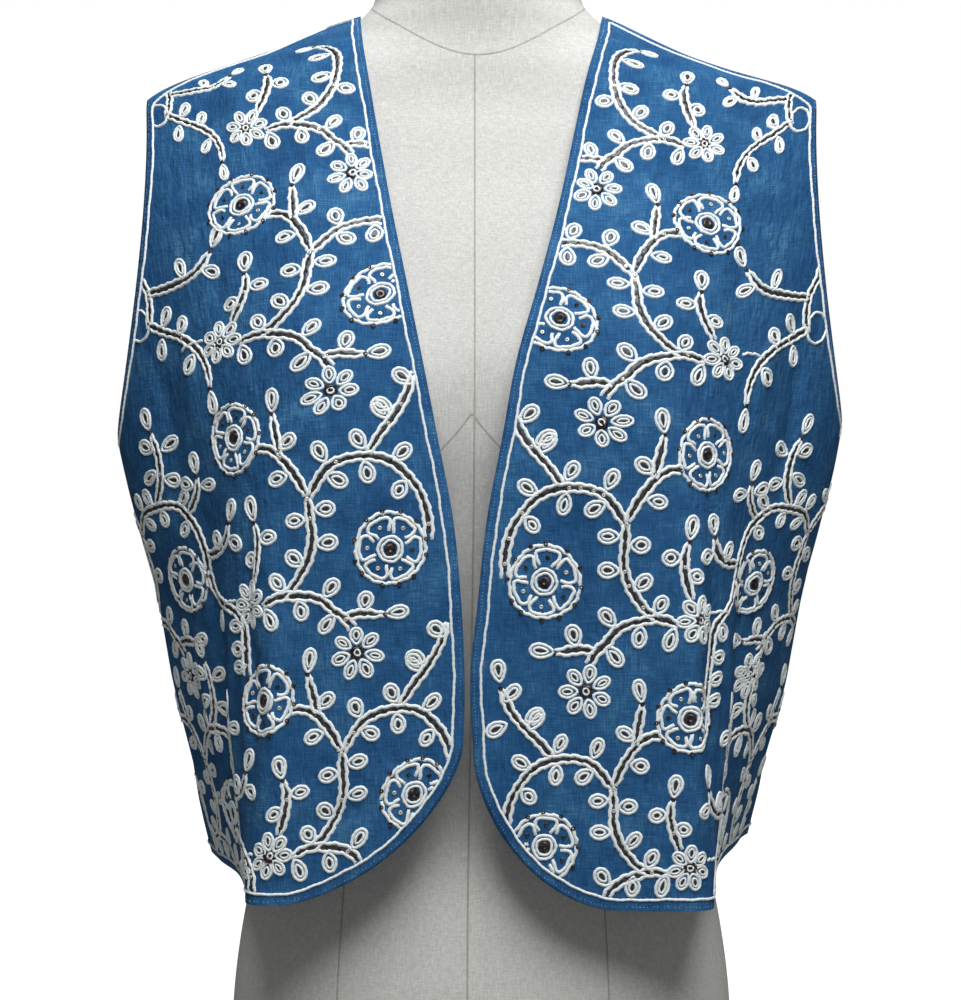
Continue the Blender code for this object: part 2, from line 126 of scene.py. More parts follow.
# Soft creases of the worn cloth, as lengths over the flat cloth: where each starts and ends (across from the
# middle and up from the hem), how wide it is and how far it stands out (or sinks, below nothing).
CREASE_WANDER = {"share": 0.35, "length": 17.0, "turn": 1.7}
CREASE_END = 0.25  # the share of its depth that a crease keeps at its ends
CREASE_COLUMNS = ("from_u", "from_v", "to_u", "to_v", "wide", "depth")
CREASES = {
    "right": (
        (118, 20, 124, 210, 5.0, 2.6), (131, 10, 141, 250, 7.0, -3.5), (100, 60, 106, 175, 5.0, -1.4),
        (62, 395, 70, 470, 4.0, -0.9), (96, 380, 101, 476, 5.0, 1.0), (120, 372, 122, 455, 4.5, -1.0),
        (150, 300, 168, 400, 7.0, -2.1), (176, 262, 200, 352, 7.0, 1.9), (205, 220, 216, 330, 8.0, -2.6),
        (40, 300, 76, 262, 6.0, -1.4), (30, 250, 62, 236, 5.0, 1.0), (156, 30, 160, 170, 6.0, 2.6),
        (183, 40, 178, 210, 7.0, -3.2), (210, 15, 200, 160, 6.0, 2.1), (28, 60, 30, 150, 8.0, 1.4),
        (70, 120, 82, 205, 7.0, -1.3), (142, 420, 150, 500, 6.0, 1.0), (176, 430, 172, 505, 6.0, -1.1),
        (52, 30, 90, 46, 7.0, 1.3), (186, 505, 150, 522, 6.0, -1.0),
    ),
    "left": (
        (112, 22, 120, 200, 5.0, 2.4), (130, 8, 139, 240, 7.5, -3.8), (88, 86, 96, 190, 5.0, -1.3),
        (66, 402, 73, 480, 4.0, -0.9), (98, 390, 104, 470, 5.0, 1.0), (122, 380, 126, 450, 4.5, -1.1),
        (104, 300, 128, 272, 7.0, -2.2), (90, 282, 118, 250, 6.0, 1.4), (150, 310, 170, 396, 7.0, -1.6),
        (178, 255, 198, 350, 7.0, 1.9), (206, 215, 218, 322, 8.0, -2.7), (158, 20, 163, 180, 6.0, 2.9),
        (186, 30, 180, 216, 7.0, -3.5), (212, 10, 204, 170, 6.0, 2.4), (60, 62, 100, 40, 7.0, -1.4),
        (34, 140, 46, 220, 7.0, 1.3), (142, 428, 150, 500, 6.0, 1.0), (174, 436, 170, 508, 6.0, -1.1),
    ),
    "back": (
        (300, 20, 296, 180, 8.0, -2.9), (322, 10, 318, 150, 8.0, 2.4), (352, 25, 356, 210, 9.0, -2.6),
        (384, 12, 380, 160, 8.0, 2.2), (414, 30, 412, 190, 9.0, -2.4), (290, 250, 320, 330, 9.0, -2.2),
        (310, 360, 360, 420, 10.0, -1.5), (330, 300, 372, 345, 9.0, 1.6), (380, 440, 430, 470, 10.0, -1.2),
        (280, 300, 292, 380, 7.0, 1.8), (268, 30, 266, 170, 7.0, 2.2),
    ),
}

# ---- The body surface ----

PLACE_STEP, LEVEL_STEP = 0.02, 2.0
PLACES = np.arange(ACROSS_MIDDLE, MIDDLE_BACK + PLACE_STEP / 2, PLACE_STEP)
LEVELS = np.arange(112.0, 664.1, LEVEL_STEP)
FLAT_STEP = 1.5
FLAT_ACROSS = np.arange(-270.0, 300.0, FLAT_STEP)
FLAT_UP = np.arange(-14.0, 600.0, FLAT_STEP)
LAST_CELL = 1.001  # from a table's end to the last position that can be looked up
SAME = 1e-6  # places closer than this are one place
SEAM_STRAY = 6.0  # how far below the shoulder tip the flat map may already meet the shoulder seam
OVER_SEAM = 60.0  # how far beyond the shoulder seam the flat map goes on


def smooth(knots, values, at):
    """The values at `at` on a smooth curve through one row of values for each knot."""
    knots, values, at = (np.asarray(part, float) for part in (knots, values, at))
    slopes = np.gradient(values, knots, axis=0)
    first = np.clip(np.searchsorted(knots, at) - 1, 0, len(knots) - 2)
    span = knots[first + 1] - knots[first]
    part = (at - knots[first]) / span
    if values.ndim > 1 and at.ndim:
        span, part = span[:, None], part[:, None]
    rest = 1 - part
    return (
        values[first] * rest * rest * (1 + 2 * part)
        + values[first + 1] * part * part * (3 - 2 * part)
        + slopes[first] * span * part * rest * rest
        - slopes[first + 1] * span * part * part * rest
    )


def unit(vectors):
    """The same vectors, each with a length of one."""
    return vectors / np.linalg.norm(vectors, axis=-1, keepdims=True)


def along(points):
    """How far along a run of points each of them is."""
    steps = np.linalg.norm(np.diff(points, axis=0), axis=1)
    return np.concatenate([[0], np.cumsum(steps)])


def points_at(at, run, points):
    """The points that lie so far along a run of points."""
    return np.column_stack([np.interp(at, run, points[:, axis]) for axis in range(points.shape[1])])


def ease(part):
    """A share from 0 to 1 that starts and stops gently."""
    part = np.clip(part, 0.0, 1.0)
    return part * part * (3 - 2 * part)


def below_crest(z):
    """How a height is counted between sections, which close up quickly towards the crest of the shoulders."""
    return math.sqrt(max(CREST - z, 1.0))


SECTION_KNOTS = [-below_crest(row[0]) for row in SECTIONS]


def section_points(z, side):
    """The points that one level section runs through, from just past the middle front to the back."""
    row = dict(zip(SECTION_COLUMNS, smooth(SECTION_KNOTS, SECTIONS, -below_crest(z))))
    share = SIDE_SHARE[side] + (1 - SIDE_SHARE[side]) * ease((z - CHEST) / (SHOULDER_TIP[1] - CHEST))
    deeper = (row["back_y"] - row["rear_y"]) * HALF_BACK["deep"]
    half_back = (row["rear_x"] * HALF_BACK["across"], row["rear_y"] + deeper)
    half = [(row[name + "_x"], row[name + "_y"]) for name in ("near", "fold", "past", "side", "rear")]
    points = [(0, row["front_y"]), *half, half_back, (0, row["back_y"])]
    points = [(-half[0][0], half[0][1]), *points, (-half_back[0], half_back[1])]
    return np.array(points) * (share, 1)


def hem_lift(places, z, side):
    """How far the cloth is hitched up near the hem: nothing in front, more at the side seam and the back."""
    front = FRONT_HEM_RISE[side]
    before = front + (HEM_RISE[side] - front) * ease((places - RISE_FROM) / (SEAM - RISE_FROM))
    rest = ease((places - SEAM) / (RISE_TO - SEAM))
    behind = HEM_RISE[side] + (HEM_RISE["back"] - HEM_RISE[side]) * rest
    return np.where(places <= SEAM, before, behind) * ease(1 - (z - HEM) / HEM_RISE_HEIGHT)


def shoulder_sag(x, z, side):
    """How far the cloth hangs down between the neck and the shoulder tip."""
    part = (x - NECK_POINT[0]) / (SHOULDER_TIP[0] - NECK_POINT[0])
    hollow = np.sin(math.pi * np.clip(part, 0.0, 1.0))
    return SHOULDER_SAG[side] * hollow * ease((z - SAG_FROM) / (SAG_FULL - SAG_FROM))


def level_row(z, side):
    """The plain surface along one level, at every place."""
    points = section_points(z, side)
    steps = np.sqrt(np.linalg.norm(np.diff(points, axis=0), axis=1))
    knots = np.concatenate([[0], np.cumsum(steps)])
    index = PLACES + 1
    first = np.minimum(index.astype(int), len(points) - 2)
    flat = smooth(knots, points, knots[first] + (index - first) * steps[first])
    height = z + hem_lift(PLACES, z, side) - shoulder_sag(flat[:, 0], z, side)
    return np.column_stack([flat, height])


def grid_normals(grid):
    return unit(np.cross(np.gradient(grid, axis=1), np.gradient(grid, axis=0)))


def run_length(grid, axis):
    """Lengths over the grid from its first row or column."""
    steps = np.linalg.norm(np.diff(grid, axis=axis), axis=2)
    zero = np.zeros_like(steps[:, :1] if axis == 1 else steps[:1])
    return np.concatenate([zero, np.cumsum(steps, axis=axis)], axis=axis)


def fold_depths(side):
    """Folds that open towards the hem, deepest there."""
    depth = np.zeros((len(LEVELS), len(PLACES)))
    for table in (side, "back"):
        for row in FOLDS[table]:
            fold = dict(zip(FOLD_COLUMNS, row))
            near = np.exp(-(((PLACES - fold["place"]) / fold["width"]) ** 2))
            depth += fold["depth"] * near[None] * ease(1 - (LEVELS - HEM) / fold["height"])[:, None]
    return depth


def crease_depths(side, across, up):
    """Soft troughs and ridges, each fading towards its ends and a little crooked."""
    depth = np.zeros_like(across)
    for table in (side, "back"):
        for number, row in enumerate(CREASES[table]):
            crease = dict(zip(CREASE_COLUMNS, row))
            start = np.array([crease["from_u"], crease["from_v"]])
            run = np.array([crease["to_u"], crease["to_v"]]) - start
            length = np.linalg.norm(run)
            ahead = ((across - start[0]) * run[0] + (up - start[1]) * run[1]) / length
            aside = ((across - start[0]) * run[1] - (up - start[1]) * run[0]) / length
            turn = ahead / CREASE_WANDER["length"] + number * CREASE_WANDER["turn"]
            aside += CREASE_WANDER["share"] * crease["wide"] * np.sin(turn)
            past = ahead - np.clip(ahead, 0, length)
            near = np.exp(-((aside / crease["wide"]) ** 2) - (past / crease["wide"]) ** 2)
            middle = np.sin(math.pi * np.clip(ahead / length, 0, 1))
            depth += crease["depth"] * near * (CREASE_END + (1 - CREASE_END) * middle)
    return depth


def look_up(table, rows, columns):
    """Values between the entries of a table, at fractional rows and columns."""
    rows = np.clip(rows, 0, table.shape[0] - LAST_CELL)
    columns = np.clip(columns, 0, table.shape[1] - LAST_CELL)
    row, column = rows.astype(int), columns.astype(int)
    down, over = rows - row, columns - column
    if table.ndim > 2:
        down, over = down[..., None], over[..., None]
    upper = table[row, column] * (1 - over) + table[row, column + 1] * over
    lower = table[row + 1, column] * (1 - over) + table[row + 1, column + 1] * over
    return upper * (1 - down) + lower * down


def unroll(made, past):
    """Adds the tables that give the place and level of each point of the flat cloth. They end at the shoulder
    seam: past it (1 is behind it and -1 before it) lies the other panel."""
    seam = int(round((SEAM - PLACES[0]) / PLACE_STEP))
    top = int((SHOULDER_TIP[1] - SEAM_STRAY - LEVELS[0]) / LEVEL_STEP)
    places = np.array([np.interp(FLAT_ACROSS, row, PLACES) for row in made.across])
    rows = np.repeat(np.arange(len(LEVELS))[:, None], len(FLAT_ACROSS), axis=1)
    ups = look_up(made.up, rows, (places - PLACES[0]) / PLACE_STEP)
    made.flat_place, made.flat_level = (np.empty((len(FLAT_UP), len(FLAT_ACROSS))) for _ in range(2))
    for n, across in enumerate(FLAT_ACROSS):
        run, place, level = ups[:, n], places[:, n], LEVELS
        beyond = np.flatnonzero((place[top:] - SEAM) * past > 0)
        if len(beyond):
            stop = top + beyond[0]
            before, after = made.across[stop - 1 : stop + 1, seam]
            part = np.clip((before - across) / (before - after), 0, 1)
            crossing = LEVELS[stop - 1] + part * LEVEL_STEP
            crossing_up = np.interp(crossing, LEVELS, made.up[:, seam])
            run = np.append(run[:stop], (crossing_up, crossing_up + OVER_SEAM))
            place = np.append(place[:stop], (SEAM, SEAM))
            level = np.append(LEVELS[:stop], (crossing, crossing))
        run = np.maximum.accumulate(run)
        made.flat_place[:, n] = np.interp(FLAT_UP, run, place)
        made.flat_level[:, n] = np.interp(FLAT_UP, run, level)


def body_surface(side):
    """The cloth surface of one side: its points, normals and lengths by level and place, and a flat map."""
    made = SimpleNamespace(side=side)
    plain = np.array([level_row(z, side) for z in LEVELS])
    middle = int(np.argmin(np.abs(PLACES)))
    hem = (HEM - LEVELS[0]) / LEVEL_STEP
    made.across = run_length(plain, 1)
    made.across -= made.across[:, middle : middle + 1]
    made.up = run_length(plain, 0)
    made.up -= look_up(made.up, np.full(len(PLACES), hem), np.arange(len(PLACES)))
    made.plain = plain
    depth = fold_depths(side) + crease_depths(side, made.across, made.up)
    made.points = plain + grid_normals(plain) * depth[..., None]
    made.normals = grid_normals(made.points)
    unroll(made, 1)
    return made


def from_middle_back(surface):
    """The same surface, with its flat map measured across from the middle of the back."""
    made = SimpleNamespace(**vars(surface))
    made.across = surface.across - surface.across[:, -1:]
    unroll(made, -1)
    return made


def table_index(places, levels):
    """Where places and levels are in a surface's tables, as rows and columns."""
    rows = (np.asarray(levels, float) - LEVELS[0]) / LEVEL_STEP
    return rows, (np.asarray(places, float) - PLACES[0]) / PLACE_STEP


def lay(surface, flat):
    """Points of the worn cloth, and its normals, where points of the flat cloth come to lie."""
    rows = (flat[:, 1] - FLAT_UP[0]) / FLAT_STEP
    columns = (flat[:, 0] - FLAT_ACROSS[0]) / FLAT_STEP
    places = look_up(surface.flat_place, rows, columns)
    levels = look_up(surface.flat_level, rows, columns)
    index = table_index(places, levels)
    normals = unit(look_up(surface.normals, *index))
    return look_up(surface.points, *index), normals


def flat_of(surface, places, levels):
    """Where points of the surface lie on the flat cloth."""
    index = table_index(places, levels)
    return np.stack([look_up(surface.across, *index), look_up(surface.up, *index)], axis=-1)


def column(table, columns, name):
    return [row[columns.index(name)] for row in table]


def edge_x(z, side):
    """How far out a front's edge is: a line that the table gives, and a rounded corner down to the hem."""
    corner = CORNERS[side]
    heights = column(FRONT_EDGE, EDGE_COLUMNS, "z")
    edge = column(FRONT_EDGE, EDGE_COLUMNS, side + "_x")
    top = HEM + corner["rise"]
    if z >= top:
        return float(smooth(heights, edge, z))
    drop = min((top - z) / corner["rise"], 1.0)
    fullness = corner["fullness"]
    across = (1 - drop**fullness) ** (1 / fullness)
    return float(smooth(heights, edge, max(top, heights[0]))) + corner["run"] * (1 - across)


def armhole_x(z):
    heights, edge = (column(ARMHOLE, ARMHOLE_COLUMNS, name) for name in ARMHOLE_COLUMNS)
    return float(smooth(heights, edge, z))


def shoulder_z(x):
    run = (SHOULDER_TIP[0] - x) / (SHOULDER_TIP[0] - NECK_POINT[0])
    return SHOULDER_TIP[1] + run * (NECK_POINT[1] - SHOULDER_TIP[1])


def level_values(table, z):
    """A table's row for a height between its levels."""
    row = (z - LEVELS[0]) / LEVEL_STEP
    first = int(min(row, len(LEVELS) - 2))
    return table[first] * (first + 1 - row) + table[first + 1] * (row - first)


def place_at_x(surface, x, z, low, high):
    """The place along a level, between two others, where the cloth is at this x."""
    low, high = sorted((low, high))
    between = (PLACES >= low - SAME) & (PLACES <= high + SAME)
    places, xs = PLACES[between], level_values(surface.plain[:, :, 0], z)[between]
    if xs[0] > xs[-1]:
        places, xs = places[::-1], xs[::-1]
    return float(np.interp(x, xs, places))


def outer_place(surface, z, low, high):
    """The place where a panel ends at a height: at the side seam, or at the armhole above it."""
    if z <= UNDERARM or z >= SHOULDER_TIP[1]:
        return SEAM
    return place_at_x(surface, armhole_x(z), z, low, high)


def even_places(surface, start, end, z, count):
    """Places at even lengths of cloth along a level."""
    run = level_values(surface.across, z)
    ends = np.interp([start, end], PLACES, run)
    return np.interp(np.linspace(ends[0], ends[1], count), run, PLACES)


# ---- The panels' own rows ----

CORNER_ROWS = 28
CORNER_HEIGHT = 92.0
SKIRT_ROWS = 46
UNDERARM_ROW = CORNER_ROWS + SKIRT_ROWS - 1
UNDERARM_ROWS = 14
YOKE_ROWS = 54
FRONT_COLUMNS = 96
BACK_SHOULDER_COLUMNS = 40
BACK_NECK_COLUMNS = 22


def lower_heights():
    """The heights of a panel's rows up to the chest, closest together round the lower corner."""
    turns = [math.pi / 2 * row / CORNER_ROWS for row in range(CORNER_ROWS)]
    corner = [HEM + CORNER_HEIGHT * (1 - math.cos(turn)) for turn in turns]
    skirt = np.linspace(HEM + CORNER_HEIGHT, UNDERARM, SKIRT_ROWS)
    underarm = np.linspace(UNDERARM, CHEST, UNDERARM_ROWS + 1)[1:]
    return [*corner, *skirt, *underarm]


def yoke_part(row):
    """How far up from the chest to the shoulder seam a row is: the rows close up towards the seam."""
    return 1 - (1 - row / YOKE_ROWS) ** 2


def chest_xs(surface, row):
    """The x of each point of a row that lies at the chest."""
    return np.interp([place for place, _ in row], PLACES, level_values(surface.plain[:, :, 0], CHEST))


def front_rows(surface):
    """Rows of (place, height) over one front, from its edge to the side seam or armhole."""
    side, rows = surface.side, []
    for z in lower_heights():
        start = place_at_x(surface, edge_x(z, side), z, ACROSS_MIDDLE, PAST)
        end = outer_place(surface, z, PAST, SEAM)
        rows.append([(place, z) for place in even_places(surface, start, end, z, FRONT_COLUMNS)])
    chest_x = chest_xs(surface, rows[-1])
    shares = (chest_x - chest_x[0]) / (chest_x[-1] - chest_x[0])
    for row in range(1, YOKE_ROWS + 1):
        part = yoke_part(row)
        inner = edge_x(CHEST + part * (NECK_POINT[1] - CHEST), side)
        outer = armhole_x(CHEST + part * (SHOULDER_TIP[1] - CHEST))
        points = []
        for count, share in enumerate(shares):
            even = count / (FRONT_COLUMNS - 1)
            top_x = NECK_POINT[0] + even * (SHOULDER_TIP[0] - NECK_POINT[0])
            z = CHEST + part * (shoulder_z(top_x) - CHEST)
            x = inner + (outer - inner) * (share + (even - share) * part)
            points.append((SEAM if row == YOKE_ROWS else place_at_x(surface, x, z, 0.0, SEAM), z))
        rows.append(points)
    return np.array(rows)


def back_half_rows(surface):
    """Rows of (place, height) over half of the back, from the side seam or armhole to the middle."""
    count = BACK_SHOULDER_COLUMNS + BACK_NECK_COLUMNS + 1
    rows = []
    for z in lower_heights():
        start = outer_place(surface, z, REAR, SEAM)
        rows.append([(place, z) for place in even_places(surface, start, MIDDLE_BACK, z, count)])
    chest_x = chest_xs(surface, rows[-1])
    tops = []
    for step in range(BACK_SHOULDER_COLUMNS + 1):
        x = SHOULDER_TIP[0] + (NECK_POINT[0] - SHOULDER_TIP[0]) * step / BACK_SHOULDER_COLUMNS
        tops.append((x, shoulder_z(x)))
    for step in range(1, BACK_NECK_COLUMNS + 1):
        turn = math.pi / 2 * step / BACK_NECK_COLUMNS
        tops.append((NECK_POINT[0] * math.cos(turn), NECK_POINT[1] - BACK_NECK_DROP * math.sin(turn)))
    for row in range(1, YOKE_ROWS + 1):
        part = yoke_part(row)
        outer = armhole_x(CHEST + part * (SHOULDER_TIP[1] - CHEST))
        points = []
        for (top_x, top_z), x in zip(tops, chest_x):
            z = CHEST + part * (top_z - CHEST)
            share = x / chest_x[0] + (top_x / SHOULDER_TIP[0] - x / chest_x[0]) * part
            on_seam = row == YOKE_ROWS and top_x >= NECK_POINT[0]
            place = SEAM if on_seam else place_at_x(surface, outer * share, z, MIDDLE_BACK, SEAM)
            points.append((place, z))
        rows.append(points)
    return np.array(rows)


# ---- Making meshes ----

SHELL = 1.2  # thickness of the cloth shown
FORM_SEGMENTS = 144
FORM_RING_STEP = 3.0
FORM_FOOT = (0, 2, 5)  # heights of the rings at its turned-in lower edge
FORM_RISE, FORM_TOP = 8, (4, 2, 0)  # where the even rings start, and how far below the top the last ones lie
FORM_COLUMNS = ("z", "half_width", "front", "back", "squareness")
FORM_SECTIONS = (
    (0, 150, 108, 112, 2.3),
    (8, 153, 111, 115, 2.3),
    (50, 153, 112, 116, 2.3),
    (110, 145.5, 106, 112, 2.3),
    (160, 134, 98, 102, 2.3),
    (210, 122, 92, 88, 2.3),
    (255, 116, 88, 78, 2.3),
    (300, 121, 90, 78, 2.35),
    (350, 136, 95, 86, 2.45),
    (400, 152, 100, 95, 2.5),
    (440, 161, 99, 101, 2.6),
    (480, 168, 89, 104, 2.7),
    (520, 173, 77, 104, 2.8),
    (555, 176, 65, 99, 2.8),
    (580, 175, 58, 92, 2.7),
    (598, 167, 53, 86, 2.5),
    (612, 151, 51, 81, 2.3),
    (624, 127, 50, 75, 2.15),
    (636, 101, 48.5, 67, 2.05),
    (646, 84, 48.5, 62, 2.0),
    (652, 78, 49, 60.5, 2.0),
    (656, 73.5, 49.5, 59.5, 2.0),
    (660, 69.4, 49.8, 59.2, 2.0),
    (664, 66, 50, 58.8, 2.0),
    (669, 64, 50, 58.5, 2.0),
    (690, 62, 50, 58, 2.0),
    (731, 60, 50, 57.5, 2.0),
    (735, 58, 48, 55.5, 2.0),
)
NECK_LEAN = {"x": -2.0, "from": 430.0, "to": 640.0}
BUST = {"x": 80.0, "z": 405.0, "wide": 44.0, "tall": 50.0, "depth": 25.0, "power": 0.5}
NECK_SEAM = {"front": 627.0, "side": 664.0}
# Seams of the form: on the front (-1) or the back (1), through these x and z.
FORM_SEAMS = (
    (-1, ((-4, 627), (-4, 540), (-4, 410), (-6, 250), (-8, 110), (-8, 12))),
    (-1, ((-5.5, 410), (-14, 399), (-24, 388))),
    (-1, ((-5.5, 410), (3, 399), (13, 388))),
    (-1, ((-86, 400), (-78, 300), (-76, 240), (-80, 140), (-84, 60), (-84, 12))),
    (-1, ((80, 400), (74, 300), (70, 240), (71, 140), (74, 60), (74, 12))),
    (1, ((-3, 655), (-3, 500), (-2, 300), (-2, 120), (-2, 12))),
    (1, ((-80, 520), (-66, 300), (-74, 120), (-80, 12))),
    (1, ((80, 520), (66, 300), (74, 120), (80, 12))),
)
SEAM_PROFILE = ((-0.75, -0.08), (-0.3, 0.12), (0, 0.0), (0.3, 0.12), (0.75, -0.08))
SEAM_STEP = {"curve": 4.0, "across": 5.0, "along": 2.5}
SLOPE_REACH = 1.5  # from a point of the form to those that its slope is measured at
NECK_SEAM_POINTS, NECK_SEAM_FINENESS, NECK_SEAM_SLOPE = 140, 20, 2
# The cap's rings: how far each is inside the form's top edge, and how far above it.
CAP_RINGS = ((3.4, 0.3), (3.0, 0.7), (3.0, 5.2), (3.3, 6.3), (4.1, 7.0), (5.2, 7.3))


def mesh_from(bm, name):
    """The mesh of a finished bmesh, which it frees."""
    mesh = bpy.data.meshes.new(name)
    bm.to_mesh(mesh)
    bm.free()
    return mesh


def set_points(mesh, points):
    """Moves a mesh's points to these places, given in millimetres."""
    mesh.vertices.foreach_set("co", (np.asarray(points, float).reshape(-1, 3) * MM).ravel())
    mesh.update()


def set_map(mesh, flat):
    """Gives the mesh a map of flat positions in metres, one for each point."""
    corners = np.empty(len(mesh.loops), np.int32)
    mesh.loops.foreach_get("vertex_index", corners)
    spots = np.asarray(flat, float).reshape(-1, 2)[corners] * MM
    layer = mesh.uv_layers.new(name="flat")
    layer.data.foreach_set("uv", spots.astype(np.float32).ravel())


def placed(name, data):
    """A new object in the scene."""
    made = bpy.data.objects.new(name, data)
    bpy.context.scene.collection.objects.link(made)
    return made


def piece(mesh, finish):
    """Makes a mesh a piece of the object, in its finish."""
    made = placed(mesh.name, mesh)
    mesh.shade_smooth()
    mesh.materials.append(finish)
    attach(made, "root")
    return made


def mirror(points):
    return points * (-1, 1, 1)


def turn_outward(mesh):
    """Turns every face of closed bodies outward."""
    bm = bmesh.new()
    bm.from_mesh(mesh)
    bmesh.ops.recalc_face_normals(bm, faces=bm.faces)
    bm.to_mesh(mesh)
    bm.free()


def open_seams(points, columns, rows):
    """Draws the given edge columns and rows of a grid of points back by half a seam gap."""
    moved = points.copy()
    for edge, inner in columns:
        moved[:, edge] += unit(points[:, inner] - points[:, edge]) * SEAM_GAP / 2
    for edge, inner in rows:
        moved[edge] += unit(points[inner] - points[edge]) * SEAM_GAP / 2
    return moved


def cloth_shell(name, outer, normals, flat):
    """A panel of cloth: an outer and an inner sheet, joined all round their edges."""
    rows, columns = outer.shape[:2]
    bm = bmesh.new()
    skins = []
    for _ in range(2):
        grid = bmesh.ops.create_grid(bm, x_segments=columns - 1, y_segments=rows - 1, size=1.0)
        skins.append(set(grid["verts"]))
    bmesh.ops.reverse_faces(bm, faces=[face for face in bm.faces if face.verts[0] in skins[1]])
    bmesh.ops.bridge_loops(bm, edges=[edge for edge in bm.edges if edge.is_boundary])
    mesh = mesh_from(bm, name)
    set_points(mesh, np.concatenate([outer.reshape(-1, 3), (outer - normals * SHELL).reshape(-1, 3)]))
    set_map(mesh, np.concatenate([flat.reshape(-1, 2)] * 2))
    turn_outward(mesh)
    return mesh


def panel_grid(surface, rows):
    """Points, normals and flat positions of a panel's rows of (place, height)."""
    index = table_index(rows[..., 0], rows[..., 1])
    normals = unit(look_up(surface.normals, *index))
    return look_up(surface.points, *index), normals, flat_of(surface, rows[..., 0], rows[..., 1])


def make_front(surface, finish):
    rows = front_rows(surface)
    points, normals, flat = panel_grid(surface, rows)
    points = open_seams(points, columns=[(-1, -2)], rows=[(-1, -2)])
    if surface.side == "left":
        points, normals, flat = mirror(points)[:, ::-1], mirror(normals)[:, ::-1], flat[:, ::-1]
    mesh = cloth_shell("front_" + surface.side + "_cloth", points, normals, flat)
    made = piece(mesh, finish)
    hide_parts("front_" + surface.side)
    return made, rows


def make_back(surfaces, finish):
    halves, rows = {}, {}
    for side, surface in surfaces.items():
        rows[side] = back_half_rows(surface)
        points, normals, flat = panel_grid(surface, rows[side])
        shoulder = range(BACK_SHOULDER_COLUMNS + 1)
        opened = open_seams(points, columns=[(0, 1)], rows=[(-1, -2)])
        points[:, 0] = opened[:, 0]
        points[-1, shoulder] = opened[-1, shoulder]
        halves[side] = (points, normals, flat)
    points, normals, flat = halves["left"]
    mirrored = mirror(points), mirror(normals), flat * (-1, 1)
    points, normals, flat = (
        np.concatenate([right[:, :-1], left[:, ::-1]], axis=1)
        for right, left in zip(halves["right"], mirrored)
    )
    mesh = cloth_shell("back_cloth", points, normals, flat)
    made = piece(mesh, finish)
    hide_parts("back")
    return made, rows


def form_level(z, segments):
    """The points of one level ring round the dress form, starting at +X."""
    row = dict(zip(FORM_COLUMNS, smooth(column(FORM_SECTIONS, FORM_COLUMNS, "z"), FORM_SECTIONS, z)))
    power = 2 / row["squareness"]
    turn = 2 * math.pi * np.arange(segments) / segments
    across, deep = np.cos(turn), np.sin(turn)
    x = np.copysign(np.abs(across) ** power, across) * row["half_width"]
    y = np.copysign(np.abs(deep) ** power, deep) * np.where(deep > 0, row["back"], row["front"])
    wide = ((np.abs(x) - BUST["x"]) / BUST["wide"]) ** 2
    tall = ((z - BUST["z"]) / BUST["tall"]) ** 2
    y -= np.where(deep < 0, BUST["depth"] * np.exp(-wide - tall) * np.abs(deep) ** BUST["power"], 0.0)
    lean = NECK_LEAN["x"] * ease((z - NECK_LEAN["from"]) / (NECK_LEAN["to"] - NECK_LEAN["from"]))
    # Even spacing round the ring, so that no face is long and thin.
    loop = np.column_stack([x + lean, y, np.full(segments, z)])
    closed = np.vstack([loop, loop[:1]])
    run = along(closed)
    return points_at(np.linspace(0, run[-1], segments, endpoint=False), run, closed)


def upper_edges(grown):
    """The edges of a just extruded ring, without those that lead up to it."""
    new = {part for part in grown if isinstance(part, bmesh.types.BMVert)}
    return [part for part in grown if isinstance(part, bmesh.types.BMEdge) and set(part.verts) <= new]


def rings_mesh(name, rings):
    """A closed body through level rings, its ends closed by flat faces."""
    segments = len(rings[0])
    bm = bmesh.new()
    first = bmesh.ops.create_circle(bm, cap_ends=True, segments=segments, radius=1.0)["verts"]
    levels = [list(first)]
    edges = list(bm.edges)
    for _ in rings[1:]:
        below = {vert: turn for turn, vert in enumerate(levels[-1])}
        grown = bmesh.ops.extrude_edge_only(bm, edges=edges)["geom"]
        new = [part for part in grown if isinstance(part, bmesh.types.BMVert)]
        level = [None] * segments
        for vert in new:
            others = (edge.other_vert(vert) for edge in vert.link_edges)
            level[next(below[other] for other in others if other in below)] = vert
        levels.append(level)
        edges = upper_edges(grown)
    bmesh.ops.contextual_create(bm, geom=edges)
    for level, ring in zip(levels, rings):
        for vert, point in zip(level, ring):
            vert.co = point * MM
    bmesh.ops.recalc_face_normals(bm, faces=bm.faces)
    return mesh_from(bm, name)


def make_form(finish):
    top = FORM_SECTIONS[-1][0]
    count = int(round((top - FORM_RISE) / FORM_RING_STEP))
    last, *others = (top - drop for drop in FORM_TOP)
    levels = [*FORM_FOOT, *np.linspace(FORM_RISE, last, count), *others]
    mesh = rings_mesh("form_body", [form_level(z, FORM_SEGMENTS) for z in levels])
    made = piece(mesh, finish)
    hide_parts("dress_form")
    return made


def form_front(x, z, hand=-1):
    """A point on the form's front (or back) and the way out from it."""

    def depth(x, z):
        ring = form_level(z, FORM_SEGMENTS)
        half = ring[ring[:, 1] * hand > 0]
        half = half[np.argsort(half[:, 0])]
        return float(np.interp(x, half[:, 0], half[:, 1]))

    step = SLOPE_REACH
    run = np.array([1, (depth(x + step, z) - depth(x - step, z)) / (2 * step), 0])
    rise = np.array([0, (depth(x, z + step) - depth(x, z - step)) / (2 * step), 1])
    return np.array([x, depth(x, z), z]), unit(np.cross(run, rise) * -hand)


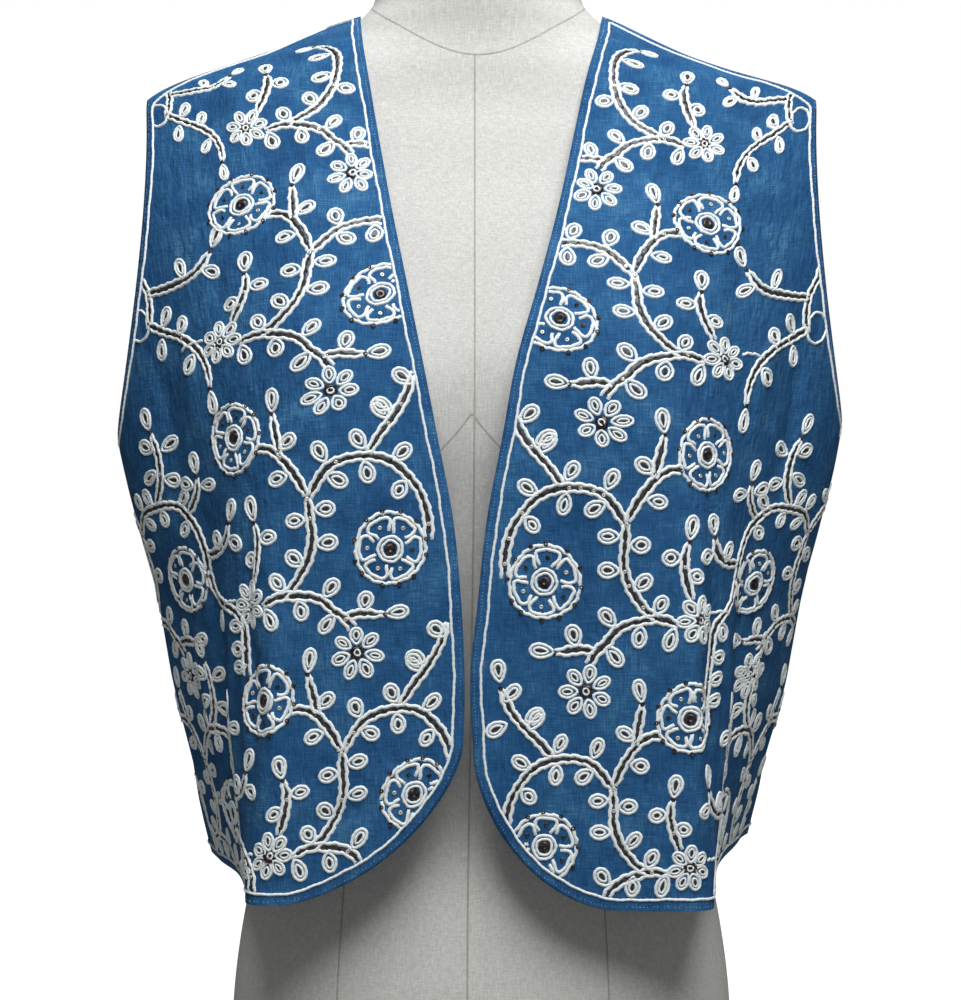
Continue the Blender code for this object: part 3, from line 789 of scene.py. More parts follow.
def neck_seam():
    """The seam round the base of the neck, lowest in front."""
    found, fine = [], NECK_SEAM_FINENESS * FORM_SEGMENTS
    for turn in np.linspace(0, 2 * math.pi, NECK_SEAM_POINTS):
        front = max(-math.sin(turn), 0.0)
        z = NECK_SEAM["side"] - (NECK_SEAM["side"] - NECK_SEAM["front"]) * front**2
        ring = form_level(z, fine)
        middle = ring.mean(axis=0)
        angles = np.arctan2(ring[:, 1] - middle[1], ring[:, 0] - middle[0])
        at = int(np.argmin(np.abs(np.angle(np.exp(1j * (angles - turn))))))
        rise = form_level(z + NECK_SEAM_SLOPE, fine)[at] - ring[at]
        run = ring[(at + NECK_SEAM_FINENESS) % fine] - ring[at - NECK_SEAM_FINENESS]
        found.append((ring[at], unit(np.cross(run, rise))))
    return found


def make_seams(finish):
    """The seams of the form's linen cover, each a narrow line of turned-in cloth."""
    runs = [neck_seam()]
    for hand, path in FORM_SEAMS:
        points = resample(curve(path, SEAM_STEP["curve"]), SEAM_STEP["across"])
        runs.append([form_front(x, z, hand) for x, z in points])
    bm = bmesh.new()
    places = []
    for run in runs:
        points, out = (np.array(part) for part in zip(*run))
        if np.linalg.norm(points[0] - points[-1]) > SEAM_STEP["across"]:
            kept = along(points)
            fine = np.linspace(0, kept[-1], int(kept[-1] / SEAM_STEP["along"]) + 2)
            points, out = (points_at(fine, kept, part) for part in (points, out))
        aside = unit(np.cross(out, np.gradient(points, axis=0)))
        grid = [points - aside * share + out * lift for share, lift in SEAM_PROFILE]
        places.append(np.stack(grid, axis=1).reshape(-1, 3))
        bmesh.ops.create_grid(bm, x_segments=len(SEAM_PROFILE) - 1, y_segments=len(points) - 1, size=1.0)
    mesh = mesh_from(bm, "form_seams")
    set_points(mesh, np.concatenate(places))
    return piece(mesh, finish)


def make_cap(finish):
    top, reach = FORM_SECTIONS[-1][:2]
    ring = form_level(top, FORM_SEGMENTS)
    middle = ring.mean(axis=0)
    rings = []
    for inset, rise in CAP_RINGS:
        scale = 1 - inset / reach
        inner = (ring[:, :2] - middle[:2]) * scale + middle[:2]
        rings.append(np.column_stack([inner, np.full(len(ring), top + rise)]))
    mesh = rings_mesh("form_cap", rings)
    made = piece(mesh, finish)
    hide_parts("neck_cap")
    return made


# ---- The embroidery ----

# One repeat of the vine, in millimetres from the middle of its first wheel: across is away from the front
# edge, and up is towards the shoulder.
WHEELS = ((0, 0), (96, 71))
DAISIES = (((90, -21.4), 14.6), ((23, -61), 15.9))  # the middle of each, and its radius
FORK = (45.6, 31.6)
# Stems of every repeat, and those that its upper half adds below the top row.
STEMS = {
    "to_daisies": (
        (76, -23.6), (71, -21.6), (65, -20.4), (55.8, -21.7), (46.8, -23.9), (40.5, -27.6), (35.3, -33.8),
        (29, -39.3), (25.2, -45.2),
    ),
    "inward": ((28, -38.6), (19.9, -37.6), (10.5, -38.9), (5.4, -39.2)),
    "above_daisy": ((84, -8.6), (80.5, 4.2), (80, 15), (82.3, 22.3)),
}
UPPER_STEMS = {
    "arch": (
        (44, 33.1), (38, 42.2), (32.6, 47.9), (24.4, 51.3), (14.5, 52.4), (5.4, 51.5), (-4.5, 47.5),
        (-12.8, 39.4), (-19, 30.3), (-22.1, 20.4), (-23.2, 11.3), (-22.6, 3.4),
    ),
    "to_second_wheel": ((46.6, 35), (50.6, 43), (57, 52), (63.2, 58.3), (70.6, 62), (76.5, 62.4)),
    "middle": (
        (45, 31), (44.8, 20.4), (44.3, 11.3), (45.6, 4.2), (47.9, -2.3), (52.4, -9.4), (58.7, -16.8),
        (63.9, -20.3),
    ),
    "above_second": ((60.5, 57.5), (62.4, 65.5), (64.6, 73.7), (66.5, 81.9)),
}
# Stems that only some repeats have: the top row, under the shoulder, the others at the front edge, and the
# ones by the side seam.
TOP_STEMS = {
    "hook": (
        (62.5, -20), (57.8, -16.8), (52.5, -13.2), (46.8, -8.2), (41.5, 0), (37.8, 9), (36.4, 18), (36.4, 29),
        (38.7, 41), (43.8, 50.5), (50.2, 57), (56.3, 61),
    ),
}
FRONT_STEMS = {"front": ((8, 54.4), (1, 63.5), (-8, 73), (-16.5, 85), (-21.5, 98))}
SIDE_STEMS = {
    "tall": ((14.5, 54.5), (7.5, 66), (5.5, 84), (9, 97)),
    "third": ((-14.5, 41), (-20, 46), (-25, 53), (-27, 62)),
    "limb": ((-25, 12.6), (-33, 12.5), (-42, 15), (-48, 20), (-52, 28)),
}
# The leaf at the tip of a stem: its middle.
TIPS = {
    "inward": (-2.7, -38.3), "above_second": (65.1, 91), "above_daisy": (84.5, 31.4), "front": (-22.5, 110),
    "hook": (62.8, 58.6), "tall": (11.5, 108), "third": (-26, 72.5), "limb": (-56, 37),
}
# Leaves along the stems: the middle of the leaf, then the point where it leaves its stem.
LEAVES = (
    ((16.2, -29.3), (17.9, -36)), ((71.9, 13.3), (77.4, 13.3)), ((86.8, 3.1), (82.5, 4.8)),
    ((66.5, -12.6), (63.2, -17.6)), ((35.3, -19.4), (39.8, -24.7)), ((54.1, -30.7), (55.2, -24.7)),
    ((72.3, -33), (75, -25.7)), ((40, -42), (35, -36)),
)
UPPER_LEAVES = (
    ((54.7, 64.6), (60.6, 60.9)), ((63.2, 44.5), (57, 45.6)), ((36.6, 57.5), (33.5, 51.3)),
    ((-11.6, 52.4), (-5.4, 48.4)), ((-8.2, 32), (-11.7, 36)), ((9.9, 42.8), (11.3, 49.3)),
    ((26.9, 40.5), (33.2, 43.9)), ((35.3, 25.3), (41.7, 25.2)), ((53.8, 20.4), (47.9, 20.4)),
    ((35.3, 6.5), (42.1, 5.9)), ((56.1, -0.3), (50.7, -4.9)),
)
TOP_LEAVES = (
    ((50.6, 39.6), (42.8, 42.5)), ((46, 16.6), (39, 19.5)), ((29.8, 7), (35.4, 8.2)),
    ((51.2, -1), (46.5, -6)),
)
FRONT_LEAVES = (
    ((-0.9, 80.2), (-7.2, 77.3)), ((-14, 95), (-20.5, 90)), ((-29, 74), (-19, 78)), ((0, 78), (-6, 71)),
    ((13.9, 62), (10.5, 56.4)),
)
# The stem that falls from the arch of a repeat by the side seam, and its leaves, on each front.
FALLING_STEMS = {
    "right": {
        "falling": (
            (-23.3, 2), (-25, -10), (-30, -17), (-35, -22), (-37, -28), (-36.5, -38), (-36, -50),
            (-35.5, -62), (-34.5, -74),
        ),
    },
    "left": {
        "falling": (
            (-23.3, 2), (-25, -10), (-33, -17), (-44, -21), (-53, -26), (-57.5, -34), (-58, -44), (-58, -54),
            (-58, -62),
        ),
    },
}
FALLING_LEAVES = {
    "right": (
        ((-28.9, -29.5), (-34, -21)), ((-29, -44), (-36, -43)), ((-28.5, -57), (-35.5, -58)),
        ((-27, -70), (-34.5, -71)),
    ),
    "left": (
        ((-28.9, -29.5), (-34, -20.5)), ((-51, -33), (-57.5, -33)), ((-51, -47), (-58, -47)),
        ((-51, -58), (-58, -58)),
    ),
}
SIDE_LEAVES = (
    ((-37.8, 19.9), (-40, 14)), ((-57.2, 16.2), (-50.5, 19)),
    ((-6, 88), (3.5, 84)), ((16, 90), (8, 86)), ((-4, 65), (5.5, 69)), ((17, 71), (8, 74)),
    ((24, 60), (20, 53)), ((-37, 55), (-27, 56)), ((-15, 60), (-24, 56)),
)
# A single line of thread from the outer daisy to the stem that falls beside it.
LINK_LINE = ((104, -18.6), (110.6, -18.9), (117, -20.5), (122.5, -23.6))
# A smaller sprig that grows from a half ring at the armhole's border line, from that ring's inner side.
SPRIG_STEMS = {
    "falling": ((1, 0), (-14, -5.5), (-30, -10), (-43.5, -18.5), (-51, -30), (-53, -42)),
    "limb": ((0, 20), (-13, 21), (-27, 24), (-45, 31), (-55.5, 43)),
    "rising": ((2, -1), (-0.8, 8), (0, 20), (7, 32), (10, 46)),
}
SPRIG_TIPS = {"falling": (-54.6, -52), "limb": (-61, 53)}
SPRIG_LEAVES = (
    ((-31, -2), (-28, -8)), ((-9, -17), (-11, -8.5)), ((-36, -27.5), (-40.5, -20.5)), ((-16, 5), (-11, -2)),
    ((-57, 30), (-48, 32)), ((-31, 34.5), (-34, 27)),
)
SPRIG_RING = ((10.5, 1), 9.6)
# Leaves and petals: their size, and the widths of their outer and inner rings of thread.
LEAF = {"long": 13.0, "wide": 10.1, "thread": 2.05, "inner": 1.75}
DAISY_EYE = (1.8, 1.5)  # the radius of the ring in its middle, and its width
LEAF_REACH = {"tip": (0.6, 9.0), "beside": (0.7, 8.6)}  # how far a leaf runs on towards its root, and at most
PETAL = {"long": 11.4, "wide": 8.5, "thread": 1.9, "inner": 1.45, "count": 7, "over": 0.6}
# An oval's rings: the gap between them, and how it narrows (by a share and a power) and draws in to its root.
OVAL = {"gap": 0.12, "narrow": 0.38, "power": 1.6, "draw": 1.0, "points": 40}
OVAL_LEAST = {"near": 1.6, "far": 1.4, "half": 0.8}
# Its dark core: how far it stays from the inner ring in front and behind, and how short and thin it may get.
CORE = {"front": 0.4, "back": 0.2, "least": 0.9, "half": 0.5, "step": 0.5}
# A wheel: its rim and its two hub rings, and the petal-shaped loops between them, as reach and degrees.
WHEEL = {"rim": 20.2, "hub": 7.1, "eye": 4.9, "eye_width": 1.8, "lobes": 6}
LOBE_REACH = np.array((8.6, 12.4, 15.8, 17.5, 17.8, 17.8, 17.5, 15.6, 12.6, 10.0))
LOBE_TURN = np.array((9, 3.5, 2, 5.5, 16, 39, 50, 54.5, 53, 48))
LOBE_START, LOBE_MIDDLE = 1.5, 28

# The points of a repeat that its place on the cloth is given by: the middles of the two wheels and the two
# daisies, or, by the side seam, the first wheel, the inner daisy, the fork, a leaf tip, the arch and another
# tip.
FLOWERS = (*WHEELS, *(middle for middle, _ in DAISIES))
ANCHORS = {
    "top": FLOWERS,
    "front": FLOWERS,
    "side": ((0, 0), (23, -61), (45.1, 32), (-56, 37), (14.5, 52.4), (-2.7, -38.3)),
}
# Where those points lie on the flat cloth of a front: across from the middle front, and up from the hem.
REPEATS = {
    "right": {
        "top": (((44.5, 477), (136, 545), (134.3, 453.6), (67.3, 423)),),
        "front": (
            ((45.3, 337.5), (135.1, 400), (148.2, 315.5), (68, 276.5)),
            ((35.5, 186), (134.1, 258.6), (124.2, 164.2), (59.3, 124.2)),
            ((35.6, 36.5), (118, 108.5), (118, 24.5), (58.5, -24)),
        ),
        "side": (
            ((189.6, 172.2), (195, 118), (243, 201), (139, 220), (216, 216), (174.8, 141)),
            ((183, 28), (190, -28), (230, 58), (134, 76), (200, 84), (172, 0)),
        ),
    },
    "left": {
        "top": (((53, 484), (142, 548), (143, 461.3), (75.4, 431.2)),),
        "front": (
            ((58.4, 349.9), (144.4, 409.9), (161.5, 323.5), (85.5, 291.9)),
            ((51.6, 201.5), (151.3, 266.2), (137.4, 169.5), (70.4, 143.5)),
            ((38.2, 63), (124.6, 115.6), (119.7, 28.1), (56, 0)),
        ),
        "side": (
            ((212, 181.9), (228, 124), (261, 211.7), (154.1, 225), (231.3, 227), (201, 146)),
            ((194, 42), (212, -14), (238, 70), (139, 82), (202, 93), (182, 12)),
        ),
    },
}
# The sprigs by the armholes: where each grows from, and its size.
SPRIGS = {"right": ((220, 327, 1.0), (195.5, 458.5, 0.76)), "left": ((224, 338, 1.0), (199, 471, 0.76))}

# The widths of the thread, the length of a link of chain stitch, and the steps that lines are meshed in.
THREAD = {"width": 2.05, "stem": 2.45, "wheel": 2.3, "link": 3.3, "step": 1.5, "border_step": 1.1}
CHANNEL = {"apart": 4.55, "fill": 2.4}  # between the middles of a stem's two lines, and the dark fill there
FINE_STEP = 0.8
JOIN = 1.6  # how far a stem's lines run on past its ends
# How a stem's two lines draw together: over what length, to what power and share, at its start and its tip.
STEM_START = {"over": 6.0, "power": 0.6, "least": 0.62}
STEM_TIP = {"over": 9.0, "power": 0.7, "past": 1.2}
# Their gap also wavers, and the dark fill between them starts and ends at these shares of their length.
STEM_GAP = {"mean": 0.95, "waver": 0.1, "length": 7.0}
STEM_FILL = {"start": 0.03, "end": 0.97, "tip": 0.9}
# The border line: how far inside the edges it lies, its width and how far it strays.
BORDER = {"edge": 5.6, "hem": 6.4, "width": 1.75, "wave": 0.26}
BORDER_SLACK = 0.35  # how much nearer to an edge the line may come
BORDER_WAVES = ((9.1, 0.0, 1.0), (3.3, 1.0, 0.6), (1.6, 0.0, 0.5))  # lengths, turns and shares
EDGE_STEP = 1.5
BACK_STEP = 1.2
BACK_INSIDE = np.array([-110.0, 250.0])  # a point well inside half of the back
# How far below the shoulder seam its line lies, at even steps from the neck to the armhole.
SHOULDER_LINE = {"right": (27.0, 13.0), "left": (8.0, 8.5, 10.0, 19.5, 17.0, 15.0, 13.0)}
TACKING = {"inset": 2.2, "long": 1.15, "space": 0.85, "width": 0.42, "step": 0.3}
MOTIF_CLEAR = 2.0  # from the middle of the border line to the nearest motif line
SEAM_CLEAR = 1.5
# How a sewn line wavers: its long and short waves, and their depth, which is less on lobes and small rings.
WAVE = {"length": 6.7, "short": 3.4, "share": 0.5, "depth": 0.36, "lobe": 0.2, "ring": 0.16, "small": 10.0}
RING = {"points_per_mm": 6, "least_points": 8, "wobble": 0.02}
REACH = {"line": 1.7, "fill": 0.5}  # how far sewing may run on towards the border line
# When sewing is clipped: a line with more room than this is whole, a loop may be moved in by so much, and may
# then stand out by so much, and a clipped line and a fill keep at least so many points.
CLIP = {"whole": 12, "move": 4.5, "out": 0.6, "sequin": 0.4, "line": 3, "fill": 5, "samples": 8}
# The radii of the sequins, and how far the raised ones lie above the cloth.
SEQUIN = {
    "stem": 1.2, "root": 1.35, "fork": 1.45, "flower": 3.5, "lobe": 1.3, "rim": 1.4, "disc": 4.1,
}
RAISED = {"stem": 0.3, "root": 0.35, "fork": 0.6, "rim": 0.5}
RIM_SEQUINS = {"count": 12, "at": 21.3}
STEM_SEQUINS = {"from": 5.0, "apart": 7.5, "tip": 8.0, "end": 4.0}  # the last two are left free at the end
# What varies as it is sewn by hand: a leaf's size, and the places of lobes and sequins.
HAND = {
    "size": (0.92, 1.06), "turn": (-1.2, 1.2), "reach": (-0.25, 0.25), "sequin": (-1.5, 1.5),
    "lobe_sequin": (12.6, 14.0), "rim_sequin": (-5, 5), "tilt": (-0.16, 0.16),
}
DARK_SHARE = {"stem": 0.88, "lobe": 0.45}  # how many of the sequins are dark, and not clear
SEEDS = {"right": 11, "left": 23}
# How strongly a repeat's anchors pull the points near them, and how weakly those far off.
PULL = {"near": 60.0, "far": 2500.0}


def resample(points, step):
    """The same run in even steps."""
    run = along(points)
    count = max(int(round(run[-1] / step)), 2)
    return points_at(np.linspace(0, run[-1], count + 1), run, points)


def curve(points, step=FINE_STEP):
    """A smooth run through given points."""
    points = np.array(points, float)
    run = along(points)
    return smooth(run, points, np.linspace(0, run[-1], max(int(run[-1] / step), 3)))


def sides_of(points):
    """Unit directions to the left of a run of points."""
    ahead = np.gradient(points, axis=0)
    ahead /= np.maximum(np.linalg.norm(ahead, axis=1, keepdims=True), 1e-9)
    return np.column_stack([-ahead[:, 1], ahead[:, 0]])


class Sewing:
    """What is sewn on one front: lines of thread, the filled middles of stems, leaves and loose sequins."""

    def __init__(self, place, dice):
        self.place, self.dice = place, dice
        self.lines, self.fills, self.sequins, self.loops = [], [], [], []

    def line(self, points, width=THREAD["width"], reach=REACH["line"], depth=WAVE["depth"]):
        points = self.place(np.asarray(points, float))
        run = along(points)
        turn = run / run[-1] * 2 * math.pi
        phase = self.dice.uniform(0, 6.3)
        wave = np.sin(turn * round(run[-1] / WAVE["length"]) + phase)
        wave += WAVE["share"] * np.sin(turn * round(run[-1] / WAVE["short"]) + 2 * phase)
        self.lines.append((points + sides_of(points) * wave[:, None] * depth, width, reach))

    def oval(self, middle, root, size, near):
        """A leaf or petal: two rings of thread, one in the other, drawn in to a point at the root."""
        middle, root = np.array(middle, float), np.array(root, float)
        ahead = unit(root - middle)
        aside = np.array([-ahead[1], ahead[0]])
        far = size["long"] / 2 * self.dice.uniform(*HAND["size"])
        half = size["wide"] / 2 * self.dice.uniform(*HAND["size"])
        outer, inner = size["thread"], size["inner"]
        turn = np.linspace(0, 2 * math.pi, OVAL["points"])
        fore, side = np.cos(turn), np.sin(turn)
        narrow = 1 - OVAL["narrow"] * np.clip(fore, 0, 1) ** OVAL["power"]
        rings = []
        for inset, width, draw in (
            (outer / 2, outer, 0.0),
            (outer + inner / 2 + OVAL["gap"], inner, OVAL["draw"]),
        ):
            before, behind = max(near - inset - draw, OVAL_LEAST["near"]), max(far - inset, OVAL_LEAST["far"])
            reach = np.where(fore > 0, before, behind)
            wide = max(half - inset, OVAL_LEAST["half"])
            ring = middle + np.outer(reach * fore, ahead) + np.outer(wide * side * narrow, aside)
            rings.append((self.place(ring), width))
        inset = outer + inner + OVAL["gap"]
        before, behind = max(near - inset - CORE["front"], CORE["least"]), far - inset + CORE["back"]
        ends = np.array([middle - ahead * behind, middle + ahead * before])
        core = self.place(resample(ends, CORE["step"]))
        self.loops.append((rings, (core, 2 * max(half - inset, CORE["half"]))))

    def ring(self, middle, radius, width=THREAD["width"], reach=REACH["line"]):
        count = int(radius * RING["points_per_mm"]) + RING["least_points"]
        turn = np.linspace(0, 2 * math.pi, count)
        wobble = 1 + RING["wobble"] * np.sin(3 * turn + self.dice.uniform(0, 6))
        round_it = np.column_stack([np.cos(turn), np.sin(turn)]) * wobble[:, None] * radius
        depth = WAVE["ring" if radius < WAVE["small"] else "depth"]
        self.line(np.array(middle) + round_it, width, reach, depth)

    def sequin(self, middle, spot, kind="dark"):
        at = self.place(np.array([middle], float))[0]
        self.sequins.append((at, SEQUIN[spot], kind, RAISED.get(spot, 0.0)))

    def stem(self, points, tip):
        """A stem: two lines of thread with a dark fill and sequins between them. The lines start a little
        inside what it grows from. They run on as far at its end, or draw together where a leaf ends it."""
        path = curve(points)
        first, last = (unit(ends) * JOIN for ends in (path[0] - path[2], path[-1] - path[-3]))
        path = np.concatenate([[path[0] + first], path, np.zeros((0, 2)) if tip else [path[-1] + last]])
        run = along(path)
        part = run / run[-1]
        apart = np.clip(run / STEM_START["over"], 0, 1) ** STEM_START["power"]
        apart = np.maximum(apart, STEM_START["least"])
        if tip:
            left = run[-1] - run + STEM_TIP["past"]
            apart = apart * np.clip(left / STEM_TIP["over"], 0, 1) ** STEM_TIP["power"]
        waver = np.sin(run / STEM_GAP["length"] + self.dice.uniform(0, 6))
        gap = CHANNEL["apart"] / 2 * apart * (STEM_GAP["mean"] + STEM_GAP["waver"] * waver)
        aside = sides_of(path)
        for hand in (-1, 1):
            self.line(path + aside * (gap * hand)[:, None], THREAD["stem"])
        within = (part > STEM_FILL["start"]) & (part < STEM_FILL["tip" if tip else "end"])
        self.fills.append((self.place(path[within]), CHANNEL["fill"]))
        end = run[-1] - STEM_SEQUINS["tip" if tip else "end"]
        for at in np.arange(STEM_SEQUINS["from"], end, STEM_SEQUINS["apart"]):
            spot = points_at(at + self.dice.uniform(*HAND["sequin"]), run, path)[0]
            kind = "clear" if self.dice.uniform() < 1 - DARK_SHARE["stem"] else "dark"
            self.sequin(spot, "stem", kind)

    def wheel(self, middle):
        middle = np.array(middle, float)
        self.ring(middle, WHEEL["rim"], THREAD["wheel"])
        self.ring(middle, WHEEL["hub"])
        self.ring(middle, WHEEL["eye"], WHEEL["eye_width"])
        self.sequin(middle, "flower")
        start = self.dice.uniform(0, 60)
        for lobe in range(WHEEL["lobes"]):
            first = math.radians(start + lobe * 360 / WHEEL["lobes"] + LOBE_START)
            turn = first + np.radians(LOBE_TURN + self.dice.uniform(*HAND["turn"], len(LOBE_TURN)))
            reach = LOBE_REACH + self.dice.uniform(*HAND["reach"], len(LOBE_REACH))
            loop = curve(np.column_stack([np.cos(turn), np.sin(turn)]) * reach[:, None])
            self.line(middle + loop, THREAD["wheel"], depth=WAVE["lobe"])
            mid = first + math.radians(LOBE_MIDDLE)
            at = middle + np.array([math.cos(mid), math.sin(mid)]) * self.dice.uniform(*HAND["lobe_sequin"])
            self.sequin(at, "lobe", "dark" if self.dice.uniform() < DARK_SHARE["lobe"] else "clear")
        around = self.dice.uniform(0, 30)
        count = RIM_SEQUINS["count"]
        strays = self.dice.uniform(*HAND["rim_sequin"], count)
        for turn in np.radians(around + np.arange(count) * 360 / count + strays):
            at = middle + np.array([math.cos(turn), math.sin(turn)]) * RIM_SEQUINS["at"]
            self.sequin(at, "rim")

    def daisy(self, middle, radius):
        middle = np.array(middle, float)
        start = self.dice.uniform(0, 40)
        for turn in np.radians(start + np.arange(PETAL["count"]) * 360 / PETAL["count"]):
            away = np.array([math.cos(turn), math.sin(turn)])
            petal = middle + away * (radius - PETAL["long"] / 2)
            self.oval(petal, middle, PETAL, PETAL["long"] / 2 + PETAL["over"])
        self.sequin(middle, "disc")
        self.ring(middle, *DAISY_EYE)

    def leaf(self, middle, root, kind):
        further, most = LEAF_REACH[kind]
        self.oval(middle, root, LEAF, min(np.linalg.norm(np.subtract(root, middle)) + further, most))

    def sprays(self, stems, leaves, tips):
        for name, points in stems.items():
            self.stem(points, tip=name in tips)
            if name in tips:
                self.sequin(points[-1], "root")
                self.leaf(tips[name], points[-1], "tip")
        for middle, root in leaves:
            self.leaf(middle, root, "beside")

    def repeat(self, kind, side):
        self.sprays(STEMS, LEAVES, TIPS)
        for middle, radius in DAISIES:
            self.daisy(middle, radius)
        if kind == "top":
            self.sprays(TOP_STEMS, TOP_LEAVES, TIPS)
            return
        self.sprays(UPPER_STEMS, UPPER_LEAVES, TIPS)
        if kind == "front":
            self.sprays(FRONT_STEMS, FRONT_LEAVES, TIPS)
            self.line(curve(LINK_LINE))
        else:
            self.sprays(SIDE_STEMS, SIDE_LEAVES, TIPS)
            self.sprays(FALLING_STEMS[side], FALLING_LEAVES[side], TIPS)
        for middle in WHEELS:
            self.wheel(middle)
        self.sequin(FORK, "fork", "clear")

    def sprig(self):
        self.sprays(SPRIG_STEMS, SPRIG_LEAVES, SPRIG_TIPS)
        self.ring(*SPRIG_RING, reach=MOTIF_CLEAR)


def placing(kind, targets):
    """Carries points of the repeat to the flat cloth, so that its anchors land where they are sewn."""
    anchors, targets = np.array(ANCHORS[kind], float), np.array(targets, float)
    known = np.column_stack([anchors, np.ones(len(anchors))])
    fit = np.linalg.lstsq(known, targets, rcond=None)[0]
    left_over = targets - known @ fit

    def place(points):
        near = 1 / (np.linalg.norm(points[:, None] - anchors[None], axis=2) ** 2 + PULL["near"])
        share = near / (near.sum(axis=1, keepdims=True) + 1 / PULL["far"])
        return np.column_stack([points, np.ones(len(points))]) @ fit + share @ left_over

    return place


def panel_outline(surface, rows):
    """The flat outline of a front: its edges as runs of points, in order round the panel."""
    flat = flat_rows(surface, rows)
    return {
        "hem": flat[0][::-1],
        "edge": flat[:, 0],
        "shoulder": flat[-1],
        "armhole": flat[UNDERARM_ROW:, -1][::-1],
        "side": flat[: UNDERARM_ROW + 1, -1][::-1],
    }


def inside(points, polygon):
    """Which points lie inside a closed outline."""
    after = np.roll(polygon, -1, axis=0)
    found = np.zeros(len(points), bool)
    for start, end in zip(polygon, after):
        crosses = (start[1] > points[:, 1]) != (end[1] > points[:, 1])
        if crosses.any():
            at = start[0] + (points[:, 1] - start[1]) / (end[1] - start[1]) * (end[0] - start[0])
            found ^= crosses & (points[:, 0] < at)
    return found


def border_gaps(side):
    """How far the border line lies from each edge of a front, at even steps from its start to its end."""
    return {
        "hem": (BORDER["hem"], BORDER["hem"]),
        "edge": (BORDER["hem"], BORDER["edge"]),
        "shoulder": SHOULDER_LINE[side],
        "armhole": (BORDER["edge"], BORDER["edge"]),
    }


def gapped(points, gaps):
    """An edge in even steps, with the distance of its line at each of them."""
    run = resample(points, EDGE_STEP)
    return run, np.interp(np.linspace(0, 1, len(run)), np.linspace(0, 1, len(gaps)), gaps)


def nearest(points, run):
    """For each point, how far the nearest point of a run is, and which it is."""
    gaps = np.linalg.norm(points[:, None] - run[None], axis=2)
    found = gaps.argmin(axis=1)
    return gaps[np.arange(len(points)), found], found


class Cloth:
    """The flat shape of one front: how far points lie inside the border line, the side seam counted apart."""

    def __init__(self, outline, side):
        self.polygon = np.concatenate([run[:-1] for run in outline.values()])
        self.runs = [gapped(outline["side"], (SEAM_CLEAR, SEAM_CLEAR))]
        for name, gaps in border_gaps(side).items():
            run, gap = gapped(outline[name], gaps)
            self.runs.append((run, gap + MOTIF_CLEAR))

    def room(self, points):
        """How far inside the allowed area each point lies (below nothing outside), and the way further in."""
        room = np.full(len(points), np.inf)
        inward = np.zeros((len(points), 2))
        within = inside(points, self.polygon)
        for run, clear in self.runs:
            gap, found = nearest(points, run)
            signed = np.where(within, gap, -gap) - clear[found]
            closer = signed < room
            away = (points - run[found]) / np.maximum(gap, 1e-6)[:, None] * np.where(within, 1, -1)[:, None]
            inward[closer] = away[closer]
            room = np.where(closer, signed, room)
        return room, inward

    def clip(self, points, reach):
        """The stretches of a run of points that lie in the allowed area, or reach past it by no more."""
        room, _ = self.room(points)
        keep = room > -reach
        parts, start = [], None
        for at, kept in enumerate([*keep, False]):
            if kept and start is None:
                start = at
            elif not kept and start is not None:
                if at - start > CLIP["line"]:
                    parts.append(points[start:at])
                start = None
        return parts


def sewn_on(cloth, sewing):
    """The sewing's lines, fills and sequins that lie on the cloth, with small loops moved in or left out."""
    lines, fills, sequins = [], [], []
    for points, width, reach in sewing.lines:
        samples = points[:: max(len(points) // CLIP["samples"], 1)]
        if np.min(cloth.room(samples)[0]) > CLIP["whole"]:
            lines.append((points, width))
        else:
            lines.extend((part, width) for part in cloth.clip(points, reach))
    for points, width in sewing.fills:
        parts = cloth.clip(points, REACH["fill"])
        fills.extend((part, width) for part in parts if len(part) > CLIP["fill"])
    for rings, (core, core_width) in sewing.loops:
        outer = rings[0][0]
        room, inward = cloth.room(outer)
        worst = room.argmin()
        shift = np.zeros(2)
        if room[worst] <= 0:
            shift = inward[worst] * -room[worst]
            if room[worst] <= -CLIP["move"] or cloth.room(outer + shift)[0].min() < -CLIP["out"]:
                continue
        lines.extend((ring + shift, width) for ring, width in rings)
        fills.append((core + shift, core_width))
    if sewing.sequins:
        room, _ = cloth.room(np.array([sequin[0] for sequin in sewing.sequins]))
        spaced = zip(sewing.sequins, room)
        sequins = [sequin for sequin, space in spaced if space > sequin[1] * CLIP["sequin"]]
    return lines, fills, sequins


def smoothed(points):
    """The same run of points, with its corners eased."""
    over = 5
    padded = np.pad(points, ((over // 2, over // 2), (0, 0)), mode="edge")
    return np.column_stack([np.convolve(part, np.ones(over) / over, mode="valid") for part in padded.T])


def border_line(outline, gaps):
    """The line sewn inside the armhole, shoulder, front and hem edges: one run, from the underarm round to
    the side seam. The gaps are those to each edge, at even steps along it."""
    names = ("armhole", "shoulder", "edge", "hem")
    runs = [gapped(outline[name][::-1], gaps[name][::-1]) for name in names]
    whole, gap = (np.concatenate([part[number][:-1] for part in runs]) for number in range(2))
    polygon = np.concatenate([run[:-1] for run in outline.values()])
    moved = whole + sides_of(whole) * gap[:, None]
    if not inside(moved[len(moved) // 2 : len(moved) // 2 + 1], polygon)[0]:
        moved = whole - sides_of(whole) * gap[:, None]
    keep = inside(moved, polygon)
    for run, least in runs:
        space, found = nearest(moved, run)
        keep &= space > least[found] - BORDER_SLACK
    moved = smoothed(resample(moved[keep], EDGE_STEP))
    run = along(moved)
    wave = BORDER["wave"] * sum(share * np.sin(run / length + turn) for length, turn, share in BORDER_WAVES)
    return moved + sides_of(moved) * wave[:, None]


